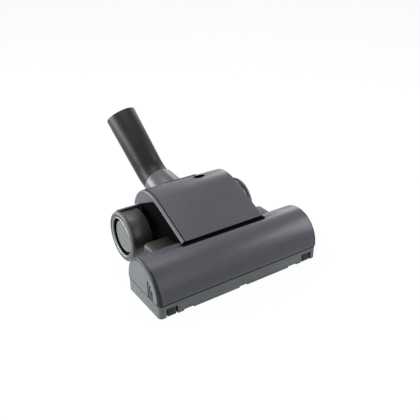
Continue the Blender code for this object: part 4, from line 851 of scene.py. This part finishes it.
# Second finishes: near-black painted shade on the sole frame's gaps and the turbine housing's sides and
# front; cap grey on the wheel guards' flat ends.
SECOND_LOOKS = {
    "sole_frame": ("inner_black", sole_gap_painted_shade),
    "turbine_housing": ("inner_black", housing_painted_shade),
    "wheel_guard_left": ("cap_grey", on_guard_end),
    "wheel_guard_right": ("cap_grey", on_guard_end),
}
for node in sorted(NODES):
    if NODES[node].hide_render:
        continue
    piece = from_node(node, SLOTS[node], BODIES[node], LOOKS.get(node))
    if node in SECOND_LOOKS:
        paint(piece, *SECOND_LOOKS[node])


# Floor, backdrop, lights and camera
def light_path_mix(tree, seen, unseen):
    """The seen shader for camera, glossy and transmission rays, and the other one for the rest."""
    path = tree.nodes.new("ShaderNodeLightPath")
    total = path.outputs["Is Camera Ray"]
    for ray in ("Is Glossy Ray", "Is Transmission Ray"):
        node = tree.nodes.new("ShaderNodeMath")
        node.operation = "MAXIMUM"
        tree.links.new(total, node.inputs[0])
        tree.links.new(path.outputs[ray], node.inputs[1])
        total = node.outputs[0]
    mix = tree.nodes.new("ShaderNodeMixShader")
    tree.links.new(total, mix.inputs[0])
    tree.links.new(unseen, mix.inputs[1])
    tree.links.new(seen, mix.inputs[2])
    return mix.outputs[0]


def stage():
    scene = bpy.context.scene
    scene.view_settings.view_transform = "Standard"
    world = bpy.data.worlds.new("studio")
    world.use_nodes = True
    tree = world.node_tree
    tree.nodes.clear()
    white = tree.nodes.new("ShaderNodeBackground")
    white.inputs["Color"].default_value = (1, 1, 1, 1)
    white.inputs["Strength"].default_value = 1.0
    soft = tree.nodes.new("ShaderNodeBackground")
    soft.inputs["Color"].default_value = (1, 1, 1, 1)
    soft.inputs["Strength"].default_value = 0.26
    output = tree.nodes.new("ShaderNodeOutputWorld")
    tree.links.new(light_path_mix(tree, white.outputs[0], soft.outputs[0]), output.inputs["Surface"])
    scene.world = world

    floor_shape = bmesh.new()
    reach = 3
    corners = [(-reach, -reach, 0), (reach, -reach, 0), (reach, reach, 0), (-reach, reach, 0)]
    floor_shape.faces.new([floor_shape.verts.new(corner) for corner in corners])
    floor = solid(floor_shape, "studio_floor")
    material = bpy.data.materials.new("studio_floor")
    material.use_nodes = True
    tree = material.node_tree
    tree.nodes.clear()
    matte = tree.nodes.new("ShaderNodeBsdfDiffuse")
    matte.inputs["Color"].default_value = (0.8, 0.8, 0.8, 1)
    glow = tree.nodes.new("ShaderNodeEmission")
    glow.inputs["Color"].default_value = (1, 1, 1, 1)
    glow.inputs["Strength"].default_value = 1.0
    blend = tree.nodes.new("ShaderNodeMixShader")
    blend.inputs[0].default_value = 0.95
    tree.links.new(matte.outputs[0], blend.inputs[1])
    tree.links.new(glow.outputs[0], blend.inputs[2])
    output = tree.nodes.new("ShaderNodeOutputMaterial")
    tree.links.new(light_path_mix(tree, blend.outputs[0], matte.outputs[0]), output.inputs["Surface"])
    floor.data.materials.append(material)

    aim = Vector((0, 0, 0.05))
    lamps = (
        ("left_softbox", (-1.02, 0.62, 0.30), 1.8, 0.5, 35.0),
        ("top_softbox", (-0.12, 0.30, 1.20), 0.9, 0.9, 11.0),
        ("rear_softbox", (1.00, 0.95, 0.62), 0.5, 0.5, 3.1),
        ("front_fill", (0.10, -1.30, 0.70), 0.9, 0.9, 3.2),
        ("right_fill", (1.00, -0.50, 0.62), 0.7, 0.7, 10.0),
    )
    for name, place, width, height, power in lamps:
        data = bpy.data.lights.new(name, "AREA")
        data.shape = "RECTANGLE"
        data.size = width
        data.size_y = height
        data.energy = power
        lamp = bpy.data.objects.new(name, data)
        scene.collection.objects.link(lamp)
        lamp.location = place
        lamp.rotation_euler = (aim - Vector(place)).to_track_quat("-Z", "Y").to_euler()


def camera():
    azimuth = math.radians(-33.811)
    pitch = math.radians(28.148)
    roll = math.radians(-0.2)
    distance = 0.73207
    target = at(-0.016798, 0.053237, 0.094214)
    level = math.cos(pitch)
    back = Vector((math.sin(azimuth) * level, -math.cos(azimuth) * level, math.sin(pitch)))
    right = Vector((math.cos(azimuth), math.sin(azimuth), 0))
    up = back.cross(right)
    turned_right = math.cos(roll) * right + math.sin(roll) * up
    turned_up = -math.sin(roll) * right + math.cos(roll) * up
    data = bpy.data.cameras.new("photo_view")
    data.sensor_width = 36
    data.lens = 49.277
    data.clip_start = 0.02
    data.clip_end = 20
    view = bpy.data.objects.new("photo_view", data)
    bpy.context.scene.collection.objects.link(view)
    place = target + back * distance
    rows = [(a, b, c, d) for a, b, c, d in zip(turned_right, turned_up, back, place)]
    view.matrix_world = Matrix([*rows, (0, 0, 0, 1)])
    bpy.context.scene.camera = view


stage()
camera()
